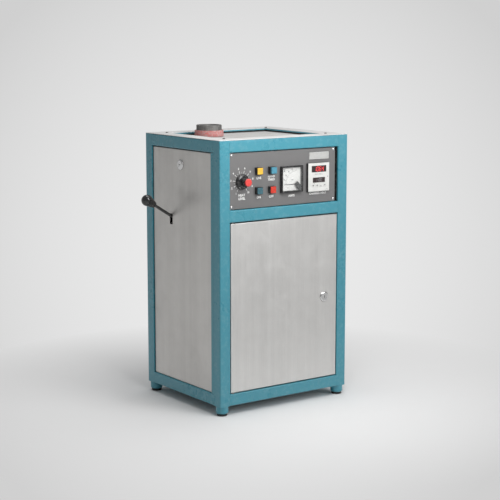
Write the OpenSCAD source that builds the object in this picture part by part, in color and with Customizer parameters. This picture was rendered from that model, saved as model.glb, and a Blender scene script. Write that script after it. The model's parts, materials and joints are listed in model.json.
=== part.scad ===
// Electric gold melting furnace. A square tube cabinet carries a round heater
// under its top board. A side lever turns a shaft, and the shaft's arm lifts
// the crucible out of the heater. Sizes are in millimetres. The floor is z = 0,
// the front faces -Y, and the origin is the centre of the cabinet's footprint.
// X places count from the left side, Y places from the front face, and Z places
// from the underside of the frame.

/* [Cabinet] */
// Width of the frame
cab_w = 425; // [420:1:460]
// Depth of the frame
cab_d = 362; // [356:1:400]
// Height of the frame without its feet
frame_h = 704; // [698:1:740]
// Side of the square tube
tube = 32; // [30:0.5:34]
// Wall of the square tube
tube_wall = 1.6; // [1.2:0.1:2.4]
// Outer corner radius of the square tube
tube_round = 3; // [2.6:0.1:4]
// Radius of a post's edges where the rails are welded flush
weld_round = 0.8; // [0.5:0.1:1.2]
// Width of the stop bar welded behind each front post
stop_w = 9.5; // [8:0.5:12]
// Depth of the stop bar, from the side inwards
stop_d = 12; // [8:0.5:14]
// Height of the control panel's part: from the mid rails' underside to the top
control_part_h = 214; // [210:1:218]

/* [Feet] */
// Diameter of a foot
foot_d = 34; // [30:0.5:38]
// Height of a foot's painted stub
foot_h = 20; // [14:0.5:30]
// Diameter of the pad under a foot
pad_d = 28; // [20:0.5:30]
// Height of the pad under a foot
pad_h = 6; // [3:0.5:10]
// Foot centre, in from each side of the frame
foot_in = 17; // [16:0.5:20]

/* [Sheet metal] */
// Thickness of the covers and the door
sheet = 1.5; // [1:0.1:2]
// Thickness of the base plate and the hearth shelf
plate = 2; // [1.5:0.1:3]
// Depth of the covers' faces behind the frame's face
cover_in = 3.5; // [2:0.1:5]
// Gap round a cover
cover_gap = 2; // [1:0.1:3]
// Depth of a cover's folded edges
fold = 15; // [12:0.5:17]
// Outer radius of a folded edge
fold_round = 2.5; // [2:0.1:4]
// Diameter of the pegs that a cover stands on
peg_d = 5; // [4:0.1:7]
// Length of a peg below its cover
peg_len = 8; // [5:0.5:12]
// Inset of the base plate and the shelf from the frame's sides
plate_in = 22; // [20:0.5:26]

/* [Top] */
// Width of the trim ring
trim_w = 50; // [46:0.5:56]
// Thickness of the trim ring
trim_t = 1.2; // [0.8:0.1:2]
// Thickness of the painted bar under the trim ring
bar_t = 3.2; // [2.5:0.1:5]
// Width of the gasket under the bar
gasket_w = 14; // [10:0.5:17]
// Thickness of the gasket
gasket_t = 4.8; // [3:0.1:6]
// Thickness of the refractory board
board_t = 12; // [10:0.5:16]
// Inset of the trim screws
trim_screw_in = 43; // [40:0.5:44]

/* [Furnace] */
// Place of the furnace's axis from the left side
furnace_x = 134; // [132:0.5:138]
// Place of the furnace's axis from the rear
furnace_back = 116; // [115:0.5:126]
// Outer diameter of the shell
shell_d = 160; // [150:1:162]
// Wall of the shell
shell_t = 2; // [1.2:0.1:3]
// Outer diameter of the heater tube
heater_d = 94; // [90:0.5:98]
// Wall of the heater tube
heater_wall = 6; // [4:0.5:7]
// Diameter of the heating wire
wire_d = 2.6; // [2:0.1:3]
// Turns of the heating wire
coil_turns = 12; // [6:1:14]
// Thickness of the insulation's floor
floor_t = 20; // [18:0.5:24]
// Depth of the seats that hold the heater tube's ends
seat_h = 12; // [8:0.5:16]
// Diameter of the collar ring
collar_d = 80; // [78:0.5:90]
// Height of the collar ring
collar_h = 17.5; // [12:0.5:22]
// Diameter of the crucible's straight rim
crucible_d = 70; // [64:0.5:71]
// Height of the crucible
crucible_h = 125; // [110:1:130]
// Diameter of the crucible's foot
crucible_foot_d = 58; // [50:0.5:60]
// Wall of the crucible
crucible_wall = 8; // [6:0.5:10]
// Height of the straight rim
rim_h = 40; // [34:1:50]
// How far the crucible stands out of the collar ring
crucible_up = 14.4; // [8:0.2:20]
// Diameter of the pedestal under the crucible
pedestal_d = 60; // [50:0.5:66]
// Diameter of the temperature probe
probe_d = 6; // [4:0.5:8]
// Height of the probe above the insulation's floor
probe_z = 20; // [17:0.5:24]

/* [Lift] */
// Place of the rocker shaft from the left side
shaft_x = 38; // [36:0.5:40]
// Rocker shaft, below the mid rails' underside
shaft_down = 26; // [22:0.5:34]
// Diameter of the rocker shaft
shaft_d = 14; // [12:0.5:16]
// How far the lever stands in front of the arm
lever_off = 7; // [6:0.5:10]
// Angle of the lever above the horizontal at rest
lever_rise = 32; // [28:0.5:34]
// Angle through which the lever is pressed down
lever_swing = 26; // [22:0.5:27]
// Length of the lever from the shaft to the knob's end
lever_len = 146; // [140:1:170]
// Diameter of the lever's rod
rod_d = 8; // [7:0.5:9]
// Length of the hand knob
hand_len = 43; // [38:1:50]
// Largest diameter of the hand knob
hand_d = 31; // [28:0.5:34]
// Diameter of the hand knob where the rod enters
hand_neck_d = 17; // [14:0.5:20]
// Depth of the rod in the hand knob
hand_in = 20; // [16:1:24]
// Width across the flats of the nut that locks the rod
lock_nut_w = 14; // [12:0.5:16]
// Thickness of the nut that locks the rod
lock_nut_t = 5; // [4:0.5:7]
// Width of the lever's slot in the left cover
slot_w = 14; // [12:0.5:18]
// Radius of the arm's round nose
nose_r = 6; // [5:0.5:7]
// Thickness of the arm
arm_t = 10; // [8:0.5:14]
// Thickness of the bearing blocks
bearing_t = 16; // [12:0.5:22]
// Diameter of the lift rod
lift_d = 12; // [10:0.5:14]
// Diameter of the pad under the lift rod
lift_pad_d = 20; // [16:0.5:22]
// Thickness of the pad under the lift rod
lift_pad_t = 5; // [4:0.5:6]
// Outer diameter of the guide bush
bush_d = 22; // [19:0.5:24]

/* [Door] */
// Gap round the door
door_gap = 2.5; // [2:0.1:3.5]
// Depth of the door
door_deep = 20; // [17:0.5:24]
// Width of the lip round the back of the door
door_lip = 14; // [13.5:0.5:20]
// Hinge axis, in from the door's left edge
hinge_in = 8; // [7.5:0.1:9]
// Hinge axis, behind the door's face
hinge_back = 5; // [4.8:0.1:5.4]
// Diameter of the hinge pins
pin_d = 6; // [5:0.1:6]
// Length of a hinge pin on each side of the gap
pin_len = 8; // [6:0.5:12]

/* [Locks] */
// Diameter of a lock's head
lock_d = 28; // [26:0.5:32]
// Height of a lock's head
lock_h = 3.6; // [3:0.1:5]
// Diameter of a lock's barrel
barrel_d = 19; // [18:0.1:20]
// Diameter of a lock's plug
plug_d = 14; // [12:0.1:15]
// Width of a lock's cam
cam_w = 16; // [14:0.5:18]
// Thickness of a lock's cam
cam_t = 2.5; // [2:0.1:3]
// How far a locked cam reaches over the frame
cam_reach = 7; // [5:0.5:12]
// Door lock, in from the door's right edge
door_lock_in = 43.5; // [38:0.5:50]
// Height of the door lock
door_lock_z = 261; // [200:1:320]
// Place of the side lock from the front
side_lock_y = 190; // [160:1:200]
// Side lock, below the top rail
side_lock_down = 43; // [38:0.5:50]

/* [Control panel] */
// Gap at the panel's left, top and bottom
panel_gap = 2; // [1:0.1:3]
// Gap at the panel's right
panel_slot = 9; // [8:0.5:12]
// Depth of the panel's face behind the frame's face
panel_in = 4; // [3:0.1:6]
// Thickness of the panel plate
panel_t = 2; // [1.5:0.1:3]
// Inset of the panel's corner screws
panel_screw_in = 5.5; // [4.5:0.1:6.5]
// Thickness of the tabs behind the panel and the covers
tab_t = 2.5; // [2:0.1:4]
// Height of a tab
tab_h = 14; // [12:0.5:16]
// Height of the knob's axis above the mid rails' underside
knob_up = 105; // [100:0.5:110]
// Space from the panel's left side to the knob, as the panel leaves it
knob_space = 19; // [17:0.5:21]
// Diameter of the knob's skirt
skirt_d = 40; // [36:0.5:42]
// Diameter of the knob's grip
grip_d = 22.5; // [20.5:0.5:26]
// Height of the knob without its cap
knob_h = 27; // [25:0.5:34]
// Diameter of the knob's cap
cap_d = 20; // [18:0.5:20.5]
// Height of the knob's cap
cap_h = 4; // [3:0.5:6]
// Space from the knob to the push switches
switch_space = 22; // [20:0.5:24]
// Space between the columns of push switches
column_space = 24; // [22:0.5:26]
// Height between the rows of push switches
switch_dz = 51.8; // [46:0.2:56]
// Middle height of the push switches above the mid rails' underside
switch_up = 104.4; // [100:0.2:108]
// Side of a push switch's square head
head_w = 19; // [18:0.1:21]
// Height of a push switch's square head
head_h = 10; // [9:0.5:12]
// Side of a push switch's coloured cap
button_w = 17.2; // [16:0.1:17.2]
// How far a cap stands out of its head
button_up = 1.5; // [1:0.1:2.5]
// How far the mode cap stands out of its head
mode_up = 5; // [4:0.1:6]
// Travel of a push button
button_travel = 3; // [2:0.1:3]
// Diameter of a push switch's round body
neck_d = 16; // [15:0.1:17]

/* [Meter and controller] */
// Middle height of the meter and the controller above the mid rails' underside
dial_up = 102.7; // [100:0.1:106]
// Space from the push switches to the meter
meter_space = 20; // [18:0.5:22]
// Side of the meter's square front
meter_w = 71; // [69:0.5:73]
// Height of the meter's front above the panel
meter_h = 9.5; // [9:0.5:12]
// Width of the meter's black rim
meter_rim = 4.5; // [3:0.1:5]
// Diameter of the meter's round body
meter_body_d = 60; // [54:0.5:64]
// Depth of the meter's round body
meter_body_h = 42; // [36:0.5:50]
// Needle pivot, right of the meter's middle
pivot_x = 17; // [14:0.5:19]
// Needle pivot, below the meter's middle
pivot_down = 14.5; // [12:0.5:17]
// Length of the needle
needle_len = 43; // [36:0.5:44]
// Space from the meter to the controller
control_space = 18; // [16:0.5:20]
// Space from the controller to the panel's right side
side_space = 26; // [24:0.5:28]
// Width of the controller's front
control_w = 72; // [70:0.5:74]
// Height of the controller's front
control_h = 77; // [74:0.5:80]
// Thickness of the controller's front
control_t = 9; // [7:0.5:12]
// Side of the controller's square body
control_body_w = 67; // [64:0.5:68]
// Depth of the controller's body
control_body_h = 70; // [60:0.5:90]
// Width of the red display window
big_window_w = 50; // [44:0.5:56]
// Height of the red display window
big_window_h = 17.4; // [14:0.2:20]
// Width of the lower display window
small_window_w = 42; // [36:0.5:48]
// Height of the lower display window
small_window_h = 13.6; // [10:0.2:15]
// Distance between the controller's keys
key_dx = 13.2; // [12:0.1:14]
// Width of a key
key_w = 9; // [7:0.1:10]
// Height of a key
key_h = 7; // [6:0.1:8]
// Travel of a key
key_travel = 0.6; // [0.4:0.1:0.8]

/* [Electrical parts] */
// Width of the transformer's core
core_w = 130; // [110:1:150]
// Depth of the transformer's core
core_d = 75; // [60:1:80]
// Height of the transformer's core
core_h = 110; // [90:1:120]
// Thickness of the winding round the core
winding_t = 12; // [8:0.5:14]
// Width of the contactor
contactor_w = 45; // [40:1:55]
// Depth of the contactor
contactor_d = 80; // [70:1:90]
// Height of the contactor
contactor_h = 72; // [60:1:84]
// Bore of the cable gland
gland_bore_d = 10; // [8:0.5:12]
// Height of the cable gland
gland_z = 90; // [80:1:110]

/* [Fits] */
// Radial running gap of a shaft, a pin or a stem in its bore
run = 0.05; // [0.02:0.01:0.1]
// Gap between parts that move past each other
free = 0.3; // [0.2:0.05:0.4]

/* [Hidden] */
$fn = 48;

left = -cab_w / 2;
front = -cab_d / 2;
base = foot_h + pad_h;
mid_z = frame_h - control_part_h;
furnace_y = cab_d - furnace_back;
shaft_z = mid_z - shaft_down;
lever_y = furnace_y - lever_off;
knob_z = mid_z + knob_up;
switch_z = mid_z + switch_up;
dial_z = mid_z + dial_up;
// Screws
screw_d = 4;
screw_head_d = 7;
screw_head_h = 2.2;
// Heights of the top's layers above the frame's underside
bar_z = frame_h - bar_t;
gasket_z = bar_z - gasket_t;
board_z = gasket_z - board_t;
board_top = board_z + board_t;
// Hearth shelf, shell and insulation
shelf_z = mid_z + tube;
shell_z = shelf_z + plate;
hearth_z = shell_z + shell_t + floor_t;
cavity_r = heater_d / 2 + wire_d + 4;
probe_len = shell_d / 2 + 24;
// Crucible and its pedestal
crucible_z = board_top + collar_h + crucible_up - crucible_h;
collar_bore_d = crucible_d + 1;
pedestal_z = hearth_z + 4;
flange_t = 3;
// Heating wire: its chords stay clear of the heater tube
coil_sides = 6;
coil_rings = 16;
coil_r = (heater_d / 2 + wire_d / 2 + free) / cos(180 / coil_rings);
coil_low = hearth_z + probe_z + probe_d / 2 + wire_d + 4;
coil_high = board_z - seat_h - wire_d - 2;
coil_pitch = (coil_high - coil_low) / coil_turns;
coil_count = coil_turns * coil_rings;
// Lift: the arm swings as far below the shaft's height as above it
half_swing = lever_swing / 2;
arm_len = (furnace_x - shaft_x) * 2 / (1 + cos(half_swing));
lift_z = shaft_z - arm_len * sin(half_swing) + nose_r + free;
lift_travel = 2 * arm_len * sin(half_swing);
bush_flange_t = 3;
socket_h = 15;
hub_d = shaft_d + 12;
hub_rim = 4;
rod_in = shaft_d / 2 + 2;
// Lever slot: the rod's height at the cover at rest and pressed down
slot_x = shaft_x - cover_in;
slot_high = shaft_z + slot_x * tan(lever_rise) + rod_d / 2 / cos(lever_rise) + 1.5;
slot_low = shaft_z + slot_x * tan(lever_rise - lever_swing) - rod_d / 2 - 1;
// Door
door_x = tube + door_gap;
door_w = cab_w - 2 * door_x;
door_z = tube + door_gap;
door_h = mid_z - tube - 2 * door_gap;
hinge_x = door_x + hinge_in;
door_lock_x = door_x + door_w - door_lock_in;
// Cover openings between the frame's members
side_y = tube + stop_w + cover_gap;
side_w = cab_d - tube - cover_gap - side_y;
rear_w = cab_w - 2 * tube - 2 * cover_gap;
side_h = frame_h - 2 * tube - cover_gap;
rear_low_h = mid_z - tube - cover_gap;
rear_high_h = frame_h - 2 * tube - mid_z - cover_gap;
tab_reach = 18;
weld_in = 1;
tab_down = 40;
tab_z = frame_h - tube - tab_down;
rear_tab_z = mid_z - tab_down;
louvre_w = 70;
louvre_h = 7;
// Locks: the cam passes behind the frame member
cam_back = tube + 0.5;
door_cam_len = cab_w - tube + cam_reach - door_lock_x;
side_lock_z = frame_h - tube - side_lock_down;
side_cam_len = side_lock_down + cam_reach;
// Control panel
panel_x = tube + panel_gap;
panel_w = cab_w - 2 * tube - panel_gap - panel_slot;
panel_z = mid_z + tube + panel_gap;
panel_h = frame_h - 2 * tube - mid_z - 2 * panel_gap;
// The spaces between the instruments share what the panel leaves them
left_over = panel_w - skirt_d - 2 * head_w - meter_w - control_w;
spaces = knob_space + switch_space + column_space + meter_space + control_space + side_space;
share = left_over / spaces;
knob_x = panel_x + share * knob_space + skirt_d / 2;
switch_x = knob_x + share * switch_space + (skirt_d + head_w) / 2;
switch_dx = share * column_space + head_w;
meter_x = switch_x + switch_dx + share * meter_space + (head_w + meter_w) / 2;
control_x = meter_x + share * control_space + (meter_w + control_w) / 2;
button_in = 5;
stem_d = 8;
stem_len = 18;
meter_floor = 2;
dial_t = 1;
cover_t = 1.8;
window_t = 1;
key_up_by = 0.7;
key_in = 2;
key_down_by = 22.4;
spindle_d = 6;
spindle_in = 19;

// A rectangle with round corners, from 0 to w and 0 to h
module round_rect(w, h, r) {
    translate([r, 0]) square([w - 2 * r, h]);
    translate([0, r]) square([w, h - 2 * r]);
    for (x = [r, w - r], y = [r, h - r])
        translate([x, y]) circle(r);
}

// The same rectangle, centred
module round_rect_mid(w, h, r) {
    translate([-w / 2, -h / 2]) round_rect(w, h, r);
}

// The section of a folded edge: the face is y = 0 and the depth runs down
module fold_section(len, deep, r) {
    translate([r, -deep]) square([len - 2 * r, deep]);
    translate([0, -deep]) square([len, deep - r]);
    for (x = [r, len - r]) translate([x, -r]) circle(r);
}

// A box from 0 to w and 0 to h, behind z = 0, whose front edges are round
module folded_box(w, h, deep, r) {
    intersection() {
        translate([0, h, 0]) rotate([90, 0, 0]) linear_extrude(h) fold_section(w, deep, r);
        rotate([90, 0, 90]) linear_extrude(w) fold_section(h, deep, r);
    }
}

// A folded sheet tray, open at the back inside its lip
module folded_tray(w, h, deep, lip) {
    cavity = lip > 0 ? deep - 2 * sheet : deep;
    difference() {
        folded_box(w, h, deep, fold_round);
        translate([sheet, sheet, -sheet])
            folded_box(w - 2 * sheet, h - 2 * sheet, cavity, fold_round - sheet);
        if (lip > 0)
            translate([lip, lip, -deep - 1]) cube([w - 2 * lip, h - 2 * lip, deep / 2]);
    }
}

// Places a part that faces out of the front, with its own +Z towards the viewer
module at_front(x, z, y) {
    translate([left + x, front + y, base + z]) rotate([90, 0, 0]) children();
}

// Places a part that faces out of the left side, with its own +X upwards
module at_left(y, z, x) {
    translate([left + x, front + y, base + z]) rotate([0, -90, 0]) children();
}

// Places a part that faces out of the rear, with its own +Z outwards
module at_rear(x, z, y) {
    translate([left + x, -front - y, base + z]) rotate([90, 0, 180]) children();
}

// Places a part on the furnace's axis, at a height above the frame's underside
module at_furnace(z) {
    translate([left + furnace_x, front + furnace_y, base + z]) children();
}

module tube_section() {
    difference() {
        round_rect(tube, tube, tube_round);
        translate([tube_wall, tube_wall])
            round_rect(tube - 2 * tube_wall, tube - 2 * tube_wall, tube_round - tube_wall);
    }
}

// Square tube along X, from the point of its lowest corner
module tube_x(len) {
    rotate([90, 0, 90]) linear_extrude(len) tube_section();
}

// Square tube along Y
module tube_y(len) {
    translate([0, len, 0]) rotate([90, 0, 0]) linear_extrude(len) tube_section();
}

// A post's section, with its outer corner at the origin
module post_section() {
    bore_w = tube - 2 * tube_wall;
    difference() {
        intersection() {
            round_rect(tube, tube, weld_round);
            round_rect(2 * tube, 2 * tube, tube_round);
        }
        translate([tube_wall, tube_wall]) round_rect(bore_w, bore_w, tube_round - tube_wall);
    }
}

module corner_posts() {
    color([0.35, 0.62, 0.68]) for (side = [0, 1], back = [0, 1])
        mirror([side, 0, 0]) mirror([0, back, 0]) translate([left, front, base])
            linear_extrude(frame_h) post_section();
}

// Holes for the covers' pegs and the door's lower pin
module rail_holes() {
    for (side = [-1, 1], y = [-side_w / 4, side_w / 4])
        translate([side * (left + cover_in + fold / 2), y + stop_w / 2, base + tube / 2])
            cylinder(d = peg_d + 0.6, h = tube);
    rear_peg_holes(0);
    translate([left + hinge_x, front + hinge_back, base + tube / 2])
        cylinder(d = pin_d + 2 * run, h = tube);
}

module rear_peg_holes(z) {
    for (x = [-rear_w / 4, rear_w / 4])
        translate([x, -front - cover_in - fold / 2, base + z + tube / 2])
            cylinder(d = peg_d + 0.6, h = tube);
}

module frame_rails() {
    color([0.35, 0.62, 0.68]) difference() {
        for (z = [base, base + frame_h - tube]) {
            for (y = [front, -front - tube])
                translate([left + tube, y, z]) tube_x(cab_w - 2 * tube);
            for (x = [left, -left - tube])
                translate([x, front + tube, z]) tube_y(cab_d - 2 * tube);
        }
        rail_holes();
    }
}

module mid_rails() {
    color([0.35, 0.62, 0.68]) difference() {
        for (y = [front, -front - tube])
            translate([left + tube, y, base + mid_z]) tube_x(cab_w - 2 * tube);
        translate([left + hinge_x, front + hinge_back, base + mid_z - 1])
            cylinder(d = pin_d + 2 * run, h = tube / 2);
        rear_peg_holes(mid_z);
    }
}

module at_feet() {
    for (x = [-1, 1], y = [-1, 1])
        translate([x * (cab_w / 2 - foot_in), y * (cab_d / 2 - foot_in), 0]) children();
}

module feet() {
    edge = 5;
    color([0.3, 0.58, 0.64]) at_feet() translate([0, 0, pad_h]) rotate_extrude() {
        square([foot_d / 2 - edge, foot_h]);
        translate([0, edge]) square([foot_d / 2, foot_h - edge]);
        translate([foot_d / 2 - edge, edge]) circle(edge);
    }
}

module foot_pads() {
    lip = 1;
    color([0.12, 0.13, 0.14]) at_feet() rotate_extrude()
        polygon([[0, 0], [pad_d / 2 - lip, 0], [pad_d / 2, lip], [pad_d / 2, pad_h], [0, pad_h]]);
}

// A plate inside the frame, cut out round the posts
module notched_plate(front_in) {
    difference() {
        translate([left + plate_in, front + front_in, 0])
            cube([cab_w - 2 * plate_in, cab_d - front_in - plate_in, plate]);
        for (x = [-1, 1], y = [-1, 1])
            translate([x * (cab_w - tube) / 2, y * (cab_d - tube) / 2, 0])
                cube([tube, tube, 3 * plate], center = true);
    }
}

module base_plate() {
    vent_w = 5;
    vent_l = 60;
    vent_dy = 14;
    color([0.62, 0.63, 0.64]) translate([0, 0, base + tube]) difference() {
        notched_plate(door_deep + 4);
        for (x = [-1, 1], row = [-2:2])
            translate([x * cab_w / 4, front + cab_d / 4 + row * vent_dy, -1]) {
                translate([-vent_l / 2, -vent_w / 2, 0]) cube([vent_l, vent_w, 2 * plate + 2]);
                for (end = [-1, 1])
                    translate([end * vent_l / 2, 0, 0]) cylinder(d = vent_w, h = 2 * plate + 2);
            }
    }
}

module hearth_shelf() {
    flange_h = 12;
    flange_y = cab_d - 2 * tube - 4;
    color([0.62, 0.63, 0.64]) translate([0, 0, base + shelf_z]) difference() {
        union() {
            notched_plate(panel_in + 10);
            for (x = [left + plate_in, -left - plate_in - plate])
                translate([x, -flange_y / 2, -flange_h]) cube([plate, flange_y, flange_h + plate]);
        }
        translate([left + furnace_x, front + furnace_y, -1])
            cylinder(d = bush_d + 2 * run, h = plate + 2);
    }
}

module top_trim() {
    color([0.80, 0.80, 0.79]) translate([0, 0, base + frame_h]) linear_extrude(trim_t)
        difference() {
            round_rect_mid(cab_w, cab_d, tube_round);
            square([cab_w - 2 * trim_w, cab_d - 2 * trim_w], center = true);
            at_trim_screws() circle(d = screw_d + 2 * run);
        }
}

module at_trim_screws() {
    for (x = [-1, 1], y = [-1, 1])
        translate([x * (cab_w / 2 - trim_screw_in), y * (cab_d / 2 - trim_screw_in)])
            children();
}

module board_frame() {
    color([0.30, 0.58, 0.64]) translate([0, 0, base + bar_z]) linear_extrude(bar_t)
        difference() {
            square([cab_w - 2 * tube, cab_d - 2 * tube], center = true);
            square([cab_w - 2 * trim_w, cab_d - 2 * trim_w], center = true);
            at_trim_screws() circle(d = screw_d + 2 * run);
        }
}

module top_gasket() {
    color([0.07, 0.07, 0.07]) translate([0, 0, base + gasket_z]) linear_extrude(gasket_t)
        difference() {
            square([cab_w - 2 * (trim_w - gasket_w), cab_d - 2 * (trim_w - gasket_w)],
                center = true);
            square([cab_w - 2 * trim_w, cab_d - 2 * trim_w], center = true);
            at_trim_screws() circle(d = screw_d + 1);
        }
}

module top_board() {
    edge = tube + 1;
    color([0.82, 0.81, 0.79]) translate([0, 0, base + board_z]) linear_extrude(board_t)
        difference() {
            square([cab_w - 2 * edge, cab_d - 2 * edge], center = true);
            translate([left + furnace_x, front + furnace_y]) circle(d = collar_bore_d + 1);
            at_trim_screws() circle(d = screw_d + 1);
        }
}

// A pan head screw whose head sits on z = 0
module screw(len) {
    difference() {
        rotate_extrude() polygon([
            [0, -len], [screw_d / 2, -len], [screw_d / 2, 0], [screw_head_d / 2, 0],
            [screw_head_d / 2, screw_head_h * 0.5], [screw_head_d * 0.4, screw_head_h * 0.85],
            [screw_head_d * 0.22, screw_head_h], [0, screw_head_h]
        ]);
        for (turn = [0, 90]) rotate([0, 0, turn])
            translate([-screw_head_d * 0.3, -0.4, screw_head_h * 0.45])
                cube([screw_head_d * 0.6, 0.8, screw_head_h]);
    }
}

module at_panel_screws() {
    for (x = [panel_x + panel_screw_in, panel_x + panel_w - panel_screw_in],
         z = [panel_z + panel_screw_in, panel_z + panel_h - panel_screw_in])
        at_front(x, z, panel_in) children();
}

module at_cover_screws() {
    screw_in = tube + tab_reach / 2 + 2;
    for (y = [screw_in + stop_w, cab_d - screw_in])
        mirror([1, 0, 0]) at_left(y, tab_z, cover_in) children();
    for (x = [screw_in, cab_w - screw_in], z = [rear_tab_z, tab_z])
        at_rear(x, z, cover_in) children();
}

module screws() {
    color([0.72, 0.72, 0.73]) {
        translate([0, 0, base + frame_h + trim_t]) at_trim_screws()
            screw(trim_t + bar_t + gasket_t);
        at_panel_screws() screw(panel_t + tab_t + 2);
        at_cover_screws() screw(sheet + tab_t + 2);
    }
}

// A tab behind a cover's face, from the post to past the screw
module cover_tab(grow) {
    translate([-tab_h / 2 - grow, 0, -sheet - tab_t - grow * 0.5])
        cube([tab_h + 2 * grow, tab_reach + grow, tab_t + grow]);
}

module at_cover_tabs() {
    for (back = [0, 1])
        mirror([1, 0, 0]) mirror([0, back, 0])
            at_left(back == 0 ? tube + stop_w - weld_in : tube, tab_z, cover_in) children();
    for (side = [0, 1], z = [rear_tab_z, tab_z])
        mirror([side, 0, 0]) at_rear(cab_w - tube, z, cover_in) mirror([1, -1, 0]) children();
}

// Bars behind the front posts, beside the side covers' edges
module stop_bars() {
    for (side = [0, 1])
        mirror([side, 0, 0]) translate([left, front + tube, base + tube])
            cube([stop_d, stop_w, frame_h - 2 * tube]);
}

// What is welded to the frame to stop and hold the panel and the covers
module panel_tabs() {
    tab_w = 2 * panel_screw_in - 1;
    drop = panel_gap + panel_screw_in;
    color([0.35, 0.62, 0.68]) difference() {
        union() {
            for (x = [panel_x + panel_screw_in, panel_x + panel_w - panel_screw_in]) {
                at_front(x, mid_z + tube, panel_in + panel_t)
                    translate([-tab_w / 2, 0, -tab_t]) cube([tab_w, drop + tab_h / 2, tab_t]);
                at_front(x, frame_h - tube, panel_in + panel_t) mirror([0, 1, 0])
                    translate([-tab_w / 2, 0, -tab_t]) cube([tab_w, drop + tab_h / 2, tab_t]);
            }
            stop_bars();
            at_cover_tabs() cover_tab(0);
        }
        at_panel_screws() screw_hole();
        at_cover_screws() screw_hole();
    }
}

module screw_hole() {
    translate([0, 0, -fold]) cylinder(d = screw_d + 2 * run, h = 2 * fold);
}

// A side or rear cover, standing on two pegs: its height runs along +X
module cover(w, h) {
    folded_tray(h, w, fold, 0);
    for (y = [w / 4, w * 3 / 4])
        translate([-peg_len, y, -fold / 2]) rotate([0, 90, 0])
            cylinder(d = peg_d, h = peg_len + sheet);
}

module lever_slot() {
    at_left(lever_y, slot_low, cover_in) translate([0, -slot_w / 2, -fold])
        linear_extrude(2 * fold) round_rect(slot_high - slot_low, slot_w, 3);
}

module left_panel() {
    color([0.72, 0.72, 0.71]) difference() {
        at_left(side_y, tube, cover_in) cover(side_w, side_h);
        lever_slot();
        at_left(side_lock_y, side_lock_z, cover_in)
            translate([0, 0, -fold]) cylinder(d = barrel_d + 2 * run, h = 2 * fold);
    }
}

module right_panel() {
    color([0.72, 0.72, 0.71]) difference() {
        mirror([1, 0, 0])
            at_left(side_y, tube, cover_in) cover(side_w, side_h);
        at_cover_screws() screw_hole();
        at_cover_tabs() cover_tab(1);
    }
}

// One pressed louvre: a hood over a slot, open downwards
module louvre_hood() {
    rotate([90, 0, 90]) linear_extrude(louvre_w, center = true)
        polygon([
            for (a = [0:15:90]) [-louvre_h * cos(a), cover_in * sin(a)],
            for (a = [90:-15:0]) [-(louvre_h - sheet) * cos(a), (cover_in - sheet) * sin(a)]
        ]);
}

module at_louvres() {
    louvre_dz = 20;
    for (x = [-1, 1], row = [0:7])
        at_rear(cab_w / 2 + x * louvre_w * 0.75, mid_z - 60 - row * louvre_dz, cover_in)
            children();
}

module rear_panels() {
    color([0.62, 0.63, 0.63]) difference() {
        union() {
            translate([left + tube + cover_gap, -front - cover_in, base + tube])
                rotate([0, -90, -90]) cover(rear_w, rear_low_h);
            translate([left + tube + cover_gap, -front - cover_in, base + mid_z + tube])
                rotate([0, -90, -90]) cover(rear_w, rear_high_h);
            at_louvres() louvre_hood();
        }
        at_louvres() translate([-louvre_w / 2, -louvre_h + 2 * sheet, -sheet - 1])
            cube([louvre_w, louvre_h - 2 * sheet, sheet + 1.01]);
        at_cover_screws() screw_hole();
        at_cover_tabs() cover_tab(1);
        at_rear(cab_w * 0.75, gland_z, cover_in)
            translate([0, 0, -fold]) cylinder(d = gland_bore_d + 8 + 2 * run, h = 2 * fold);
    }
}

module at_switches() {
    for (column = [0, 1], row = [-0.5, 0.5])
        at_front(switch_x + column * switch_dx, switch_z + row * switch_dz, panel_in)
            children();
}

module control_panel() {
    color([0.47, 0.47, 0.47]) difference() {
        at_front(panel_x, panel_z, panel_in)
            translate([0, 0, -panel_t]) linear_extrude(panel_t) round_rect(panel_w, panel_h, 1);
        at_front(knob_x, knob_z, panel_in)
            translate([0, 0, -fold]) cylinder(d = 10 + 2 * run, h = 2 * fold);
        at_switches() translate([0, 0, -fold]) cylinder(d = neck_d + 2 * run, h = 2 * fold);
        at_front(meter_x, dial_z, panel_in)
            translate([0, 0, -fold]) cylinder(d = meter_body_d + 2 * run, h = 2 * fold);
        at_front(control_x, dial_z, panel_in) translate([0, 0, -fold])
            linear_extrude(2 * fold)
                square(control_body_w + 2 * run, center = true);
        at_panel_screws() screw_hole();
    }
}

// Ammeter: the dial lies on the floor of the case's pocket, the cover closes it
module meter_case() {
    pocket_w = meter_w - 2 * meter_rim;
    seat_w = pocket_w + 2;
    color([0.06, 0.06, 0.07]) at_front(meter_x, dial_z, panel_in) {
        difference() {
            union() {
                linear_extrude(meter_h) round_rect_mid(meter_w, meter_w, 2);
                translate([0, 0, -meter_body_h]) cylinder(d = meter_body_d, h = meter_body_h);
                for (x = [-1, 1]) translate([x * meter_body_d / 4, 0, -meter_body_h - 12])
                    cylinder(d = 5, h = 13);
            }
            translate([0, 0, meter_floor]) linear_extrude(meter_h)
                square(pocket_w, center = true);
            translate([0, 0, meter_h - cover_t]) linear_extrude(meter_h)
                square(seat_w, center = true);
            translate([pivot_x, -pivot_down, -6]) cylinder(d = 2 + 2 * run, h = 10);
        }
        pivot_mask();
    }
}

// The black mask that reaches over the needle's pivot from the lower right corner
module pivot_mask() {
    mask_z = meter_h - cover_t - 1.6;
    corner = meter_w / 2 - meter_rim;
    mask_r = 7;
    translate([0, 0, mask_z]) linear_extrude(1.4) {
        translate([pivot_x, -pivot_down]) circle(mask_r);
        polygon([
            [pivot_x - mask_r * 0.7, -pivot_down - mask_r * 0.7],
            [pivot_x + mask_r * 0.7, -pivot_down + mask_r * 0.7],
            [corner + 1, -corner + 8], [corner + 1, -corner - 1], [corner - 8, -corner - 1]
        ]);
    }
}

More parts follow.
